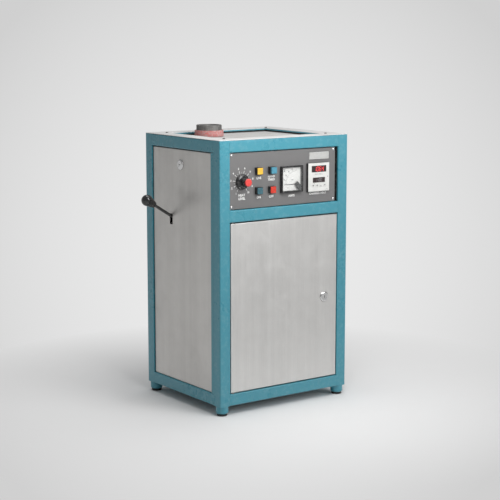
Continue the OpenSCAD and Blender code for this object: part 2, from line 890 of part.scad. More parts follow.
module meter_dial() {
    dial_w = meter_w - 2 * meter_rim - 0.4;
    color([0.93, 0.93, 0.91]) at_front(meter_x, dial_z, panel_in)
        translate([0, 0, meter_floor]) linear_extrude(dial_t) difference() {
            round_rect_mid(dial_w, dial_w, 1);
            translate([pivot_x, -pivot_down]) circle(d = 4);
        }
}

module meter_cover() {
    cover_w = meter_w - 2 * meter_rim + 1.8;
    color([0.85, 0.9, 0.92, 0.3]) at_front(meter_x, dial_z, panel_in)
        translate([0, 0, meter_h - cover_t]) linear_extrude(cover_t)
            round_rect_mid(cover_w, cover_w, 0.6);
}

module meter_needle() {
    hub_z = meter_floor + dial_t + free;
    color([0.05, 0.05, 0.05]) at_front(meter_x + pivot_x, dial_z - pivot_down, panel_in) {
        translate([0, 0, -5]) cylinder(d = 2, h = hub_z + 6);
        translate([0, 0, hub_z]) cylinder(d = 6, h = 1.4);
        translate([0, 0, hub_z]) linear_extrude(0.6)
            polygon([[0, 1], [-needle_len + 2, 0.5], [-needle_len, 0], [-needle_len + 2, -0.5],
                [0, -1], [8, -1.4], [8, 1.4]]);
    }
}

module at_key(n) {
    at_front(control_x + (n - 1.5) * key_dx, dial_z - key_down_by, panel_in)
        translate([0, 0, control_t]) children();
}

module controller_case() {
    color([0.85, 0.85, 0.83]) difference() {
        at_front(control_x, dial_z, panel_in) {
            translate([-control_w / 2, -control_h / 2, control_t])
                folded_box(control_w, control_h, control_t, 1.5);
            translate([0, 0, -control_body_h]) linear_extrude(control_body_h + 1)
                round_rect_mid(control_body_w, control_body_w, 1);
        }
        at_windows() translate([0, 0, control_t - window_t]) linear_extrude(2 * window_t)
            window_shape($window_w + 2 * run, $window_h + 2 * run);
        for (n = [0:3]) at_key(n) translate([0, 0, -key_in - key_travel - free])
            linear_extrude(2 * key_in + fold)
                round_rect_mid(key_w + 2 * free, key_h + 2 * free, 1);
    }
}

module window_shape(w, h) {
    round_rect_mid(w, h, 0.8);
}

module at_windows() {
    big_z = 22.5;
    small_z = -7.5;
    at_front(control_x, dial_z + big_z, panel_in) {
        $window_w = big_window_w;
        $window_h = big_window_h;
        children();
    }
    at_front(control_x, dial_z + small_z, panel_in) {
        $window_w = small_window_w;
        $window_h = small_window_h;
        children();
    }
}

module controller_window() {
    color([0.2, 0.03, 0.03]) at_windows() translate([0, 0, control_t - window_t])
        linear_extrude(window_t) window_shape($window_w, $window_h);
}

module controller_key(n) {
    color([0.75, 0.75, 0.73]) at_key(n) translate([0, 0, key_up_by])
        translate([-key_w / 2, -key_h / 2, 0])
            folded_box(key_w, key_h, key_in + key_up_by, 0.6);
}

module switch_bodies() {
    color([0.06, 0.06, 0.07]) at_switches() difference() {
        union() {
            linear_extrude(head_h) round_rect_mid(head_w, head_w, 1);
            translate([0, 0, -28]) cylinder(d = neck_d, h = 29);
            translate([0, 0, -panel_t - 4]) cylinder(d = neck_d + 6, h = 4);
        }
        translate([0, 0, button_in - button_travel - free]) linear_extrude(head_h)
            square(button_w + 2 * free, center = true);
        translate([0, 0, -stem_len - button_travel - 1])
            cylinder(d = stem_d + 2 * run, h = stem_len + head_h);
    }
}

// A square cap on its round stem, standing up out of the switch's head
module button_cap(up) {
    cap_deep = head_h + up - button_in;
    translate([-button_w / 2, -button_w / 2, head_h + up])
        folded_box(button_w, button_w, cap_deep, 0.8);
    translate([0, 0, button_in - stem_len]) cylinder(d = stem_d, h = stem_len);
}

module at_switch(column, row) {
    at_front(switch_x + column * switch_dx, switch_z + (row - 0.5) * switch_dz, panel_in)
        children();
}

module live_lamp() {
    color([0.88, 0.71, 0.22]) at_switch(0, 1) button_cap(button_up);
}

module mode_button() {
    color([0.32, 0.58, 0.65]) at_switch(1, 1) button_cap(mode_up);
}

module start_button() {
    color([0.2, 0.38, 0.44]) at_switch(0, 0) button_cap(button_up);
}

module stop_button() {
    color([0.8, 0.22, 0.1]) at_switch(1, 0) button_cap(button_up);
}

// The knob turns just clear of the panel
module power_knob() {
    flutes = 16;
    color([0.05, 0.05, 0.06]) at_front(knob_x, knob_z, panel_in) difference() {
        translate([0, 0, free]) rotate_extrude() difference() {
            union() {
                square([grip_d / 2, knob_h - free]);
                square([skirt_d / 2 - 1, 5]);
                translate([0, 1]) square([skirt_d / 2, 3]);
                translate([skirt_d / 2 - 1, 1]) circle(1);
                translate([skirt_d / 2 - 1, 4]) circle(1);
                square([grip_d / 2 + 6, 11]);
            }
            translate([grip_d / 2 + 7.5, 12.5]) circle(7.5);
            translate([spindle_d / 2 + run, -1]) mirror([1, 0])
                square([spindle_d, spindle_in + 2]);
        }
        for (n = [0:flutes - 1]) rotate([0, 0, n * 360 / flutes])
            translate([grip_d / 2 + 0.7, 0, 14]) cylinder(d = 3, h = knob_h, $fn = 24);
    }
}

module knob_cap() {
    color([0.86, 0.3, 0.29]) at_front(knob_x, knob_z, panel_in)
        translate([0, 0, knob_h]) rotate_extrude() {
            square([cap_d / 2, cap_h - 1]);
            square([cap_d / 2 - 1, cap_h]);
            translate([cap_d / 2 - 1, cap_h - 1]) circle(1);
        }
}

module knob_spindle() {
    color([0.7, 0.7, 0.7]) at_front(knob_x, knob_z, panel_in)
        translate([0, 0, -panel_t - 14]) cylinder(d = spindle_d, h = panel_t + 14 + spindle_in);
}

module potentiometer() {
    color([0.55, 0.5, 0.4]) at_front(knob_x, knob_z, panel_in) difference() {
        union() {
            translate([0, 0, -panel_t - 24]) cylinder(d = 38, h = 24);
            translate([0, 0, -panel_t - 1]) cylinder(d = 10, h = panel_t + 1);
            translate([-8, -27, -panel_t - 12]) cube([16, 14, 2]);
        }
        translate([0, 0, -panel_t - 15]) cylinder(d = spindle_d + 2 * run, h = 30);
    }
}

module door() {
    color([0.75, 0.74, 0.73]) difference() {
        at_front(door_x, door_z, 0) folded_tray(door_w, door_h, door_deep, door_lip);
        translate([left + hinge_x, front + hinge_back, base])
            cylinder(d = pin_d + 2 * run, h = mid_z);
        at_front(door_lock_x, door_lock_z, 0)
            translate([0, 0, -door_deep / 2]) cylinder(d = barrel_d + 2 * run, h = door_deep);
    }
}

// The upper pin hangs in the mid rail, the lower pin carries the door on its collar
module door_pins() {
    color([0.7, 0.7, 0.7]) translate([left + hinge_x, front + hinge_back, base]) {
        translate([0, 0, mid_z - door_gap - pin_len])
            cylinder(d = pin_d, h = 2 * pin_len + door_gap);
        translate([0, 0, tube - pin_len]) cylinder(d = pin_d, h = 2 * pin_len + door_gap);
        translate([0, 0, tube]) cylinder(d = 9, h = door_gap - free);
    }
}

// Lock head and barrel, with the nut behind the sheet
module lock_body() {
    barrel_len = cam_back - $lock_in - free;
    difference() {
        union() {
            rotate_extrude() polygon([
                [0, 0], [lock_d / 2, 0], [lock_d / 2, lock_h * 0.35],
                [lock_d / 2 - 1.2, lock_h * 0.75], [lock_d / 2 - 3.5, lock_h], [0, lock_h]
            ]);
            translate([0, 0, -barrel_len]) cylinder(d = barrel_d, h = barrel_len + 1);
            translate([0, 0, -sheet - 4]) cylinder(d = barrel_d + 6, h = 4, $fn = 6);
        }
        translate([0, 0, -barrel_len - 1])
            cylinder(d = plug_d + 2 * run, h = barrel_len + lock_h + 2);
    }
}

// Lock plug with its key slot, and the cam on its back end
module lock_cam(len, turn) {
    cam_z = cam_back - $lock_in;
    difference() {
        union() {
            translate([0, 0, -cam_z]) cylinder(d = plug_d, h = cam_z + lock_h - 0.4);
            rotate([0, 0, turn]) translate([0, 0, -cam_z - cam_t]) linear_extrude(cam_t) {
                circle(d = cam_w);
                translate([0, -cam_w / 2]) square([len - cam_w / 2, cam_w]);
                translate([len - 4, 0]) round_rect_mid(8, cam_w, 3.5);
                translate([len - cam_w / 2 - 1, -cam_w / 2 + 1]) square([4, cam_w - 2]);
            }
            translate([0, 0, -cam_z - cam_t - 3]) cylinder(d = 9, h = 3.5);
        }
        translate([-1.1, -3.6, lock_h - 4]) cube([2.2, 7.2, 5]);
    }
}

module door_lock_body() {
    $lock_in = 0;
    color([0.82, 0.82, 0.83]) at_front(door_lock_x, door_lock_z, 0) lock_body();
}

module door_lock_cam() {
    $lock_in = 0;
    color([0.75, 0.75, 0.76]) at_front(door_lock_x, door_lock_z, 0)
        lock_cam(door_cam_len, -90);
}

module side_lock_body() {
    $lock_in = cover_in;
    color([0.82, 0.82, 0.83]) at_left(side_lock_y, side_lock_z, cover_in) lock_body();
}

module side_lock_cam() {
    $lock_in = cover_in;
    color([0.75, 0.75, 0.76]) at_left(side_lock_y, side_lock_z, cover_in)
        lock_cam(side_cam_len, 90);
}

// Places a part along the lever, with its own +Z from the shaft to the knob
module at_lever() {
    translate([left + shaft_x, front + lever_y, base + shaft_z])
        rotate([0, -90 + lever_rise, 0]) children();
}

// The rod sits in a socket in the arm's hub, locked by a nut
module lever_rod() {
    color([0.6, 0.6, 0.6]) at_lever() {
        translate([0, 0, rod_in]) cylinder(d = rod_d, h = lever_len - hand_len + hand_in - rod_in);
        translate([0, 0, hub_d / 2]) cylinder(d = lock_nut_w / cos(30), h = lock_nut_t, $fn = 6);
    }
}

// Tapered hand knob: a cone that ends in a round head
module lever_knob() {
    neck_r = hand_neck_d / 2;
    head_r = hand_d / 2;
    color([0.05, 0.05, 0.06]) at_lever() translate([0, 0, lever_len - hand_len]) difference() {
        rotate_extrude() intersection() {
            translate([0, 0]) square([hand_d, hand_len]);
            union() {
                polygon([[0, 0], [neck_r - 1, 0], [neck_r, 1],
                    [head_r - 0.6, hand_len - head_r - 4], [head_r, hand_len - head_r + 2],
                    [0, hand_len - head_r + 2]]);
                translate([0, hand_len - head_r]) circle(head_r);
            }
        }
        translate([0, 0, -1]) cylinder(d = rod_d, h = hand_in + 1);
    }
}

module rocker_shaft() {
    color([0.6, 0.6, 0.6]) translate([left + shaft_x, -front - tube - 1, base + shaft_z])
        rotate([90, 0, 0]) cylinder(d = shaft_d, h = cab_d - 2 * tube - 2);
}

// The arm: a hub on the shaft, a tapered web and a round nose under the lift rod
module lift_arm() {
    web_h = 11;
    tip_h = 6;
    hub_back = arm_t / 2 + hub_rim;
    hub_front = lever_off + lock_nut_w / 2 + hub_rim / 2;
    color([0.45, 0.46, 0.48]) difference() {
        translate([left + shaft_x, front + furnace_y, base + shaft_z])
            rotate([90, half_swing, 0]) difference() {
                union() {
                    translate([0, 0, -hub_back]) cylinder(d = hub_d, h = hub_back + hub_front);
                    translate([0, 0, -arm_t / 2]) linear_extrude(arm_t) polygon([
                        [0, web_h], [arm_len, tip_h / 2], [arm_len, -tip_h / 2], [0, -web_h]
                    ]);
                    translate([arm_len, 0, -arm_t / 2]) cylinder(r = nose_r, h = arm_t);
                }
                translate([0, 0, -2 * hub_back]) cylinder(d = shaft_d + 2 * run, h = 2 * hub_d);
                for (hole = [[0.42, 8], [0.62, 6]])
                    translate([arm_len * hole[0], 0, -arm_t])
                        cylinder(d = hole[1], h = 2 * arm_t);
            }
        at_lever() translate([0, 0, rod_in - run]) cylinder(d = rod_d + 2 * run, h = hub_d);
    }
}

// Bearing blocks fixed to the left posts' inner faces
module shaft_bearings() {
    block_x = cover_in + fold + 1;
    boss_d = shaft_d + 16;
    block_h = boss_d * 1.4;
    color([0.4, 0.41, 0.43]) for (back = [0, 1]) mirror([0, back, 0])
        translate([left, front + tube + bearing_t, base + shaft_z]) rotate([90, 0, 0])
            difference() {
                union() {
                    translate([0, 0, bearing_t * 0.4]) linear_extrude(bearing_t * 0.6)
                        translate([block_x, -block_h / 2])
                            round_rect(tube - block_x, block_h, 3);
                    translate([shaft_x, 0, 0]) cylinder(d = boss_d, h = bearing_t);
                    linear_extrude(bearing_t) translate([block_x, -boss_d / 2])
                        square([shaft_x - block_x, boss_d]);
                }
                translate([shaft_x, 0, -1]) cylinder(d = shaft_d + 2 * run, h = bearing_t + 2);
            }
}

module lift_rod() {
    rod_top = pedestal_z + socket_h - 1;
    color([0.62, 0.62, 0.62]) at_furnace(0) {
        translate([0, 0, lift_z]) cylinder(d = lift_d, h = rod_top - lift_z);
        translate([0, 0, lift_z]) cylinder(d = lift_pad_d, h = lift_pad_t);
        translate([0, 0, pedestal_z - flange_t]) cylinder(d = 34, h = flange_t);
    }
}

module pedestal() {
    color([0.78, 0.72, 0.64]) at_furnace(pedestal_z) rotate_extrude() difference() {
        union() {
            square([pedestal_d / 2, crucible_z - pedestal_z - 2]);
            square([pedestal_d / 2 - 2, crucible_z - pedestal_z]);
        }
        square([lift_d / 2 + run, socket_h]);
    }
}

module guide_bush() {
    color([0.72, 0.58, 0.28]) at_furnace(shelf_z - bush_flange_t) difference() {
        union() {
            cylinder(d = bush_d + 12, h = bush_flange_t);
            cylinder(d = bush_d, h = bush_flange_t + plate + shell_t + 14);
        }
        translate([0, 0, -1]) cylinder(d = lift_d + 2 * run, h = floor_t * 3);
    }
}

// Crucible: a tapered cup with a straight rim and a round-bottomed bowl
module crucible() {
    bowl_r = crucible_d / 2 - crucible_wall;
    foot_r = crucible_foot_d / 2;
    floor_r = foot_r - crucible_wall;
    corner = 8;
    floor_z = crucible_wall + 2;
    color([0.36, 0.36, 0.37]) at_furnace(crucible_z) rotate_extrude($fn = 96) difference() {
        union() {
            polygon([
                [0, 0], [foot_r - 2, 0], [foot_r, 2], [crucible_d / 2, crucible_h - rim_h],
                [crucible_d / 2, crucible_h - 1.5], [0, crucible_h - 1.5]
            ]);
            square([crucible_d / 2 - 1.5, crucible_h]);
            translate([crucible_d / 2 - 1.5, crucible_h - 1.5]) circle(1.5);
        }
        polygon([
            [0, floor_z + corner], [floor_r, floor_z + corner], [bowl_r, crucible_h - rim_h],
            [bowl_r, crucible_h - 1], [bowl_r + 1, crucible_h + 1], [0, crucible_h + 1]
        ]);
        translate([0, floor_z]) square([floor_r - corner, corner + 1]);
        intersection() {
            translate([floor_r - corner, floor_z + corner]) circle(corner);
            square([floor_r, crucible_h]);
        }
    }
}

module collar_ring() {
    color([0.73, 0.42, 0.41]) at_furnace(board_top) rotate_extrude($fn = 96) difference() {
        union() {
            translate([0, 1]) square([collar_d / 2, collar_h - 2]);
            square([collar_d / 2 - 1, collar_h]);
        }
        translate([0, -1]) square([collar_bore_d / 2, collar_h + 2]);
    }
}

module furnace_shell() {
    shell_h = board_z - shell_z;
    color([0.55, 0.56, 0.57]) at_furnace(shell_z) difference() {
        cylinder(d = shell_d, h = shell_h, $fn = 96);
        translate([0, 0, shell_t]) cylinder(d = shell_d - 2 * shell_t, h = shell_h, $fn = 96);
        translate([0, 0, -1]) cylinder(d = bush_d + 2 * run, h = shell_t + 2);
        translate([0, 0, hearth_z - shell_z + probe_z]) rotate([0, 90, 0])
            cylinder(d = probe_d + 2 * run, h = shell_d);
    }
}

module insulation() {
    outer_r = shell_d / 2 - shell_t - run;
    floor_z = shell_z + shell_t;
    block_h = board_z - floor_z;
    seat_r = heater_d / 2 + run;
    color([0.93, 0.92, 0.88]) at_furnace(floor_z) difference() {
        cylinder(r = outer_r, h = block_h, $fn = 96);
        translate([0, 0, floor_t]) cylinder(r = seat_r, h = block_h, $fn = 96);
        translate([0, 0, floor_t + seat_h])
            cylinder(r = cavity_r, h = block_h - floor_t - 2 * seat_h, $fn = 96);
        translate([0, 0, -1]) cylinder(d = bush_d + 2 * run, h = block_h);
        translate([0, 0, floor_t + probe_z]) rotate([0, 90, 0])
            cylinder(d = probe_d + 2 * run, h = shell_d);
    }
}

module heater_tube() {
    tube_h = board_z - hearth_z;
    color([0.88, 0.84, 0.76]) at_furnace(hearth_z) difference() {
        cylinder(d = heater_d, h = tube_h, $fn = 96);
        translate([0, 0, -1]) cylinder(d = heater_d - 2 * heater_wall, h = tube_h + 2, $fn = 96);
        translate([0, 0, probe_z]) rotate([0, 90, 0]) cylinder(d = probe_d + 2 * run, h = heater_d);
    }
}

// The heating wire: one unbroken helix round the heater tube
function coil_point(i, j) =
    let (a = i * 360 / coil_rings, b = j * 360 / coil_sides, r = coil_r + wire_d / 2 * cos(b))
    [r * cos(a), r * sin(a), coil_low + i * coil_pitch / coil_rings + wire_d / 2 * sin(b)];

module heating_coil() {
    color([0.5, 0.38, 0.32]) at_furnace(0) polyhedron(
        points = [for (i = [0:coil_count], j = [0:coil_sides - 1]) coil_point(i, j)],
        faces = concat(
            [[for (j = [0:coil_sides - 1]) j]],
            [for (i = [0:coil_count - 1], j = [0:coil_sides - 1])
                let (a = i * coil_sides, k = (j + 1) % coil_sides)
                [a + j, a + coil_sides + j, a + coil_sides + k]],
            [for (i = [0:coil_count - 1], j = [0:coil_sides - 1])
                let (a = i * coil_sides, k = (j + 1) % coil_sides)
                [a + j, a + coil_sides + k, a + k]],
            [[for (j = [coil_sides - 1:-1:0]) coil_count * coil_sides + j]]
        )
    );
}

module thermocouple() {
    tip_r = heater_d / 2 - heater_wall - 3;
    head_d = 24;
    color([0.68, 0.68, 0.66]) at_furnace(hearth_z + probe_z) rotate([0, 90, 0]) {
        translate([0, 0, tip_r]) cylinder(d = probe_d, h = probe_len - tip_r);
        translate([0, 0, shell_d / 2]) cylinder(d = probe_d + 6, h = 6);
        translate([0, 0, probe_len - 1]) cylinder(d = head_d, h = 26);
        translate([0, 0, probe_len + 25]) cylinder(d = head_d + 3, h = 6);
    }
}

// Transformer: a laminated core with two windows round one wound bobbin
module transformer() {
    leg = core_w / 6;
    foot_t = 2.5;
    x = cab_w / 2;
    y = cab_d * 0.62;
    color([0.35, 0.33, 0.31]) translate([left + x, front + y, base + tube + plate]) {
        translate([0, 0, foot_t]) difference() {
            translate([-core_w / 2, -core_d / 2, 0]) cube([core_w, core_d, core_h]);
            for (side = [-1, 1]) translate([side * core_w / 4 - leg / 2, -core_d, leg])
                cube([leg, 2 * core_d, core_h - 2 * leg]);
        }
        translate([0, 0, foot_t + core_h / 2]) difference() {
            cube([leg * 4 - 2, core_d + 2 * winding_t, core_h - 2 * leg - 2], center = true);
            for (side = [-1, 1]) for (end = [-1, 1])
                translate([side * leg * 2, end * (core_d / 2 + winding_t), 0])
                    cylinder(r = 4, h = core_h, center = true);
        }
        for (end = [-1, 1]) translate([-core_w / 2, end * (core_d / 2 - 1) - 10, 0])
            cube([core_w, 20, foot_t]);
    }
}

module contactor() {
    step_h = contactor_h * 0.55;
    step_d = contactor_d / 6;
    terminal_dx = contactor_w * 0.29;
    color([0.2, 0.2, 0.21])
        translate([left + cab_w - 80, front + cab_d * 0.55, base + tube + plate]) difference() {
            translate([-contactor_w / 2, 0, 0]) {
                cube([contactor_w, contactor_d, step_h]);
                translate([0, step_d, 0])
                    cube([contactor_w, contactor_d - 2 * step_d, contactor_h * 0.85]);
                translate([4, 2 * step_d, 0])
                    cube([contactor_w - 8, contactor_d - 4 * step_d, contactor_h]);
            }
            for (n = [-1, 0, 1], y = [step_d / 2, contactor_d - step_d / 2])
                translate([n * terminal_dx, y, step_h - 10]) cylinder(d = 9, h = 12);
        }
}

// Cable gland: a hex body and a domed nut, with a through bore
module cable_gland() {
    outer_d = gland_bore_d + 8;
    at_rear(cab_w * 0.75, gland_z, cover_in) color([0.12, 0.12, 0.13]) difference() {
        union() {
            translate([0, 0, -sheet - 12]) cylinder(d = outer_d, h = 30);
            translate([0, 0, -sheet - 5]) cylinder(d = outer_d + 6, h = 5, $fn = 6);
            cylinder(d = outer_d + 6, h = 6, $fn = 6);
            translate([0, 0, 6]) cylinder(d1 = outer_d + 4, d2 = outer_d, h = 14);
        }
        translate([0, 0, -sheet - 13]) cylinder(d = gland_bore_d, h = 60);
    }
}

corner_posts();
frame_rails();
mid_rails();
feet();
foot_pads();
base_plate();
hearth_shelf();
top_trim();
board_frame();
top_gasket();
top_board();
screws();
left_panel();
right_panel();
rear_panels();
control_panel();
panel_tabs();
meter_case();
meter_dial();
meter_cover();
meter_needle();
controller_case();
controller_window();
controller_key(0);  // key_menu
controller_key(1);  // key_shift
controller_key(2);  // key_down
controller_key(3);  // key_up
switch_bodies();
live_lamp();
mode_button();
start_button();
stop_button();
power_knob();
knob_cap();
knob_spindle();
potentiometer();
door();
door_pins();
door_lock_body();
door_lock_cam();
side_lock_body();
side_lock_cam();
lever_rod();
lever_knob();
rocker_shaft();
lift_arm();
shaft_bearings();
lift_rod();
pedestal();
guide_bush();
crucible();
collar_ring();
furnace_shell();
insulation();
heater_tube();
heating_coil();
thermocouple();
transformer();
contactor();
cable_gland();
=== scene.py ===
import json
import logging
import math
from abc import ABC, abstractmethod
from collections.abc import Callable
from dataclasses import dataclass, field
from enum import Enum

import bmesh
import bpy
from mathutils import Euler, Matrix, Vector

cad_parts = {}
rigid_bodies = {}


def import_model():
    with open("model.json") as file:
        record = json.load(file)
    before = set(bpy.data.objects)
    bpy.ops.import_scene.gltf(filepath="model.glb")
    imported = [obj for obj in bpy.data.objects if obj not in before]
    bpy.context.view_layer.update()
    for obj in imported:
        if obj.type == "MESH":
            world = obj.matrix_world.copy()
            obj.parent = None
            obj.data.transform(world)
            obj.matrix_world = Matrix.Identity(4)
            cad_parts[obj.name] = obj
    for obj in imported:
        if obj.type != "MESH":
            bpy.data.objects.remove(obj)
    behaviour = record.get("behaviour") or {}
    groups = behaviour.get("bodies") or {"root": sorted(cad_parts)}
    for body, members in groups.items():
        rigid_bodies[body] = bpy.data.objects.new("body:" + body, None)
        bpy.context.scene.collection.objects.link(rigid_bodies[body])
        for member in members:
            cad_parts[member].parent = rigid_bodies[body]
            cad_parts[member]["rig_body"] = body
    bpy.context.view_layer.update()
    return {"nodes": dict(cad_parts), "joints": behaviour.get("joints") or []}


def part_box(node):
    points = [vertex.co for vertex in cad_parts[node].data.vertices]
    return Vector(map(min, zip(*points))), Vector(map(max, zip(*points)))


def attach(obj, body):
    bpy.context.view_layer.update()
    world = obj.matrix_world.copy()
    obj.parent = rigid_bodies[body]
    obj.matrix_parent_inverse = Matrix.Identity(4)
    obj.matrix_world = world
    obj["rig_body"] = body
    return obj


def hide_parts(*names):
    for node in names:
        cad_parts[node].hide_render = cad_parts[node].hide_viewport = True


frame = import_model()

log = logging.getLogger("furnace")
MM = 0.001
WELD = 0.000002  # corners nearer than this many metres are one
FLAT = math.radians(0.4)  # triangles within this angle become one face
SHARP = 38.0  # edges over this many degrees stay sharp


class Body(str, Enum):
    """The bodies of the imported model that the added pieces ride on."""

    CABINET = "cabinet"
    KNOB = "knob"


class Brush(Enum):
    """The direction in which a sheet was brushed, as a scale on each axis."""

    UPRIGHT = (1.0, 1.0, 0.012)
    ACROSS = (0.012, 0.012, 1.0)


# Shader tools


class Sheet:
    """One node tree that is being filled, with short calls for its nodes."""

    def __init__(self, tree: bpy.types.NodeTree) -> None:
        """Keeps the tree.

        Args:
            tree: the material's or the group's node tree.
        """
        self.tree = tree

    def add(self, kind: str, inputs: dict | None = None, **settings: object) -> bpy.types.Node:
        """Adds a node.

        Args:
            kind: the node's Blender type.
            inputs: value or socket for each named or numbered input.
            settings: attributes set on the node first.

        Returns:
            The new node.
        """
        node = self.tree.nodes.new(kind)
        for name, value in settings.items():
            setattr(node, name, value)
        self.fill(node, inputs or {})
        return node

    def fill(self, node: bpy.types.Node, inputs: dict) -> None:
        """Feeds several inputs of a node.

        Args:
            node: the node.
            inputs: value or socket for each named or numbered input.
        """
        for name, value in inputs.items():
            self.feed(value, node.inputs[name])

    def feed(self, value: object, socket: bpy.types.NodeSocket) -> None:
        """Links a socket, or sets a plain value.

        Args:
            value: an output socket, or a number or a tuple.
            socket: the input that takes it.
        """
        if isinstance(value, bpy.types.NodeSocket):
            self.tree.links.new(value, socket)
        else:
            socket.default_value = value

    def place(self, scale: tuple[float, float, float] = (1, 1, 1)) -> bpy.types.NodeSocket:
        """Object coordinates, scaled.

        Args:
            scale: factor on each axis.

        Returns:
            The vector socket.
        """
        where = self.add("ShaderNodeTexCoord")
        mapped = self.add("ShaderNodeMapping", {"Vector": where.outputs["Object"]})
        mapped.inputs["Scale"].default_value = scale
        return mapped.outputs["Vector"]

    def noise(
        self, vector: object, scale: float, detail: float = 3.0, rough: float = 0.5
    ) -> bpy.types.NodeSocket:
        """Noise from 0 to 1.

        Args:
            vector: where it is read.
            scale: waves per metre.
            detail: octaves.
            rough: how strong the finer octaves are.

        Returns:
            The factor socket.
        """
        inputs = {"Vector": vector, "Scale": scale, "Detail": detail, "Roughness": rough}
        return self.add("ShaderNodeTexNoise", inputs).outputs["Fac"]

    def ramp(
        self, fac: object, low: float, high: float, a: float = 0.0, b: float = 1.0
    ) -> bpy.types.NodeSocket:
        """Maps a range to another, clamped.

        Args:
            fac: the value read.
            low: start of its range.
            high: end of its range.
            a: result at the start.
            b: result at the end.

        Returns:
            The result socket.
        """
        inputs = {"Value": fac, "From Min": low, "From Max": high, "To Min": a, "To Max": b}
        return self.add("ShaderNodeMapRange", inputs).outputs["Result"]

    def mix(self, fac: object, a: object, b: object, blend: str = "MIX") -> bpy.types.NodeSocket:
        """Mixes two colours.

        Args:
            fac: share of the second.
            a: first colour.
            b: second colour.
            blend: how they are mixed.

        Returns:
            The colour socket.
        """
        made = self.add("ShaderNodeMix", data_type="RGBA", blend_type=blend, clamp_factor=True)
        self.fill(made, {0: fac, 6: a, 7: b})
        return made.outputs[2]

    def math(self, how: str, a: object, b: object = 0.0) -> bpy.types.NodeSocket:
        """One sum on two values.

        Args:
            how: Blender's name for it.
            a: first value.
            b: second value.

        Returns:
            The result socket.
        """
        return self.add("ShaderNodeMath", {0: a, 1: b}, operation=how).outputs[0]

    def times(self, a: object, b: object) -> bpy.types.NodeSocket:
        """The product of two values."""
        return self.math("MULTIPLY", a, b)

    def bump(self, height: object, depth: float, strength: float) -> bpy.types.NodeSocket:
        """A bump.

        Args:
            height: height from 0 to 1.
            depth: metres that 1 stands for.
            strength: how much of it shows.

        Returns:
            The normal socket.
        """
        inputs = {"Height": height, "Distance": depth, "Strength": strength}
        return self.add("ShaderNodeBump", inputs).outputs["Normal"]


def hue(red: int, green: int, blue: int) -> tuple[float, float, float, float]:
    """A screen colour as Blender's linear colour.

    Args:
        red: 0 to 255.
        green: 0 to 255.
        blue: 0 to 255.

    Returns:
        Linear red, green, blue and 1.
    """

    def line(c: int) -> float:
        """One channel made linear."""
        s = c / 255
        return s / 12.92 if s <= 0.04045 else ((s + 0.055) / 1.055) ** 2.4

    return (line(red), line(green), line(blue), 1.0)


WHITE = (1.0, 1.0, 1.0, 1.0)
# dark tone of the painted shade and soiling in corners and creases
CORNER_SHADE_TONE = (0.1, 0.09, 0.08, 1.0)
BARE = (0.6, 0.6, 0.6, 1.0)
NOWHERE = (0.0, 0.0, 0.0)
COLOR_AND_MASK = {"Color": "Color", "Mask": "Float"}


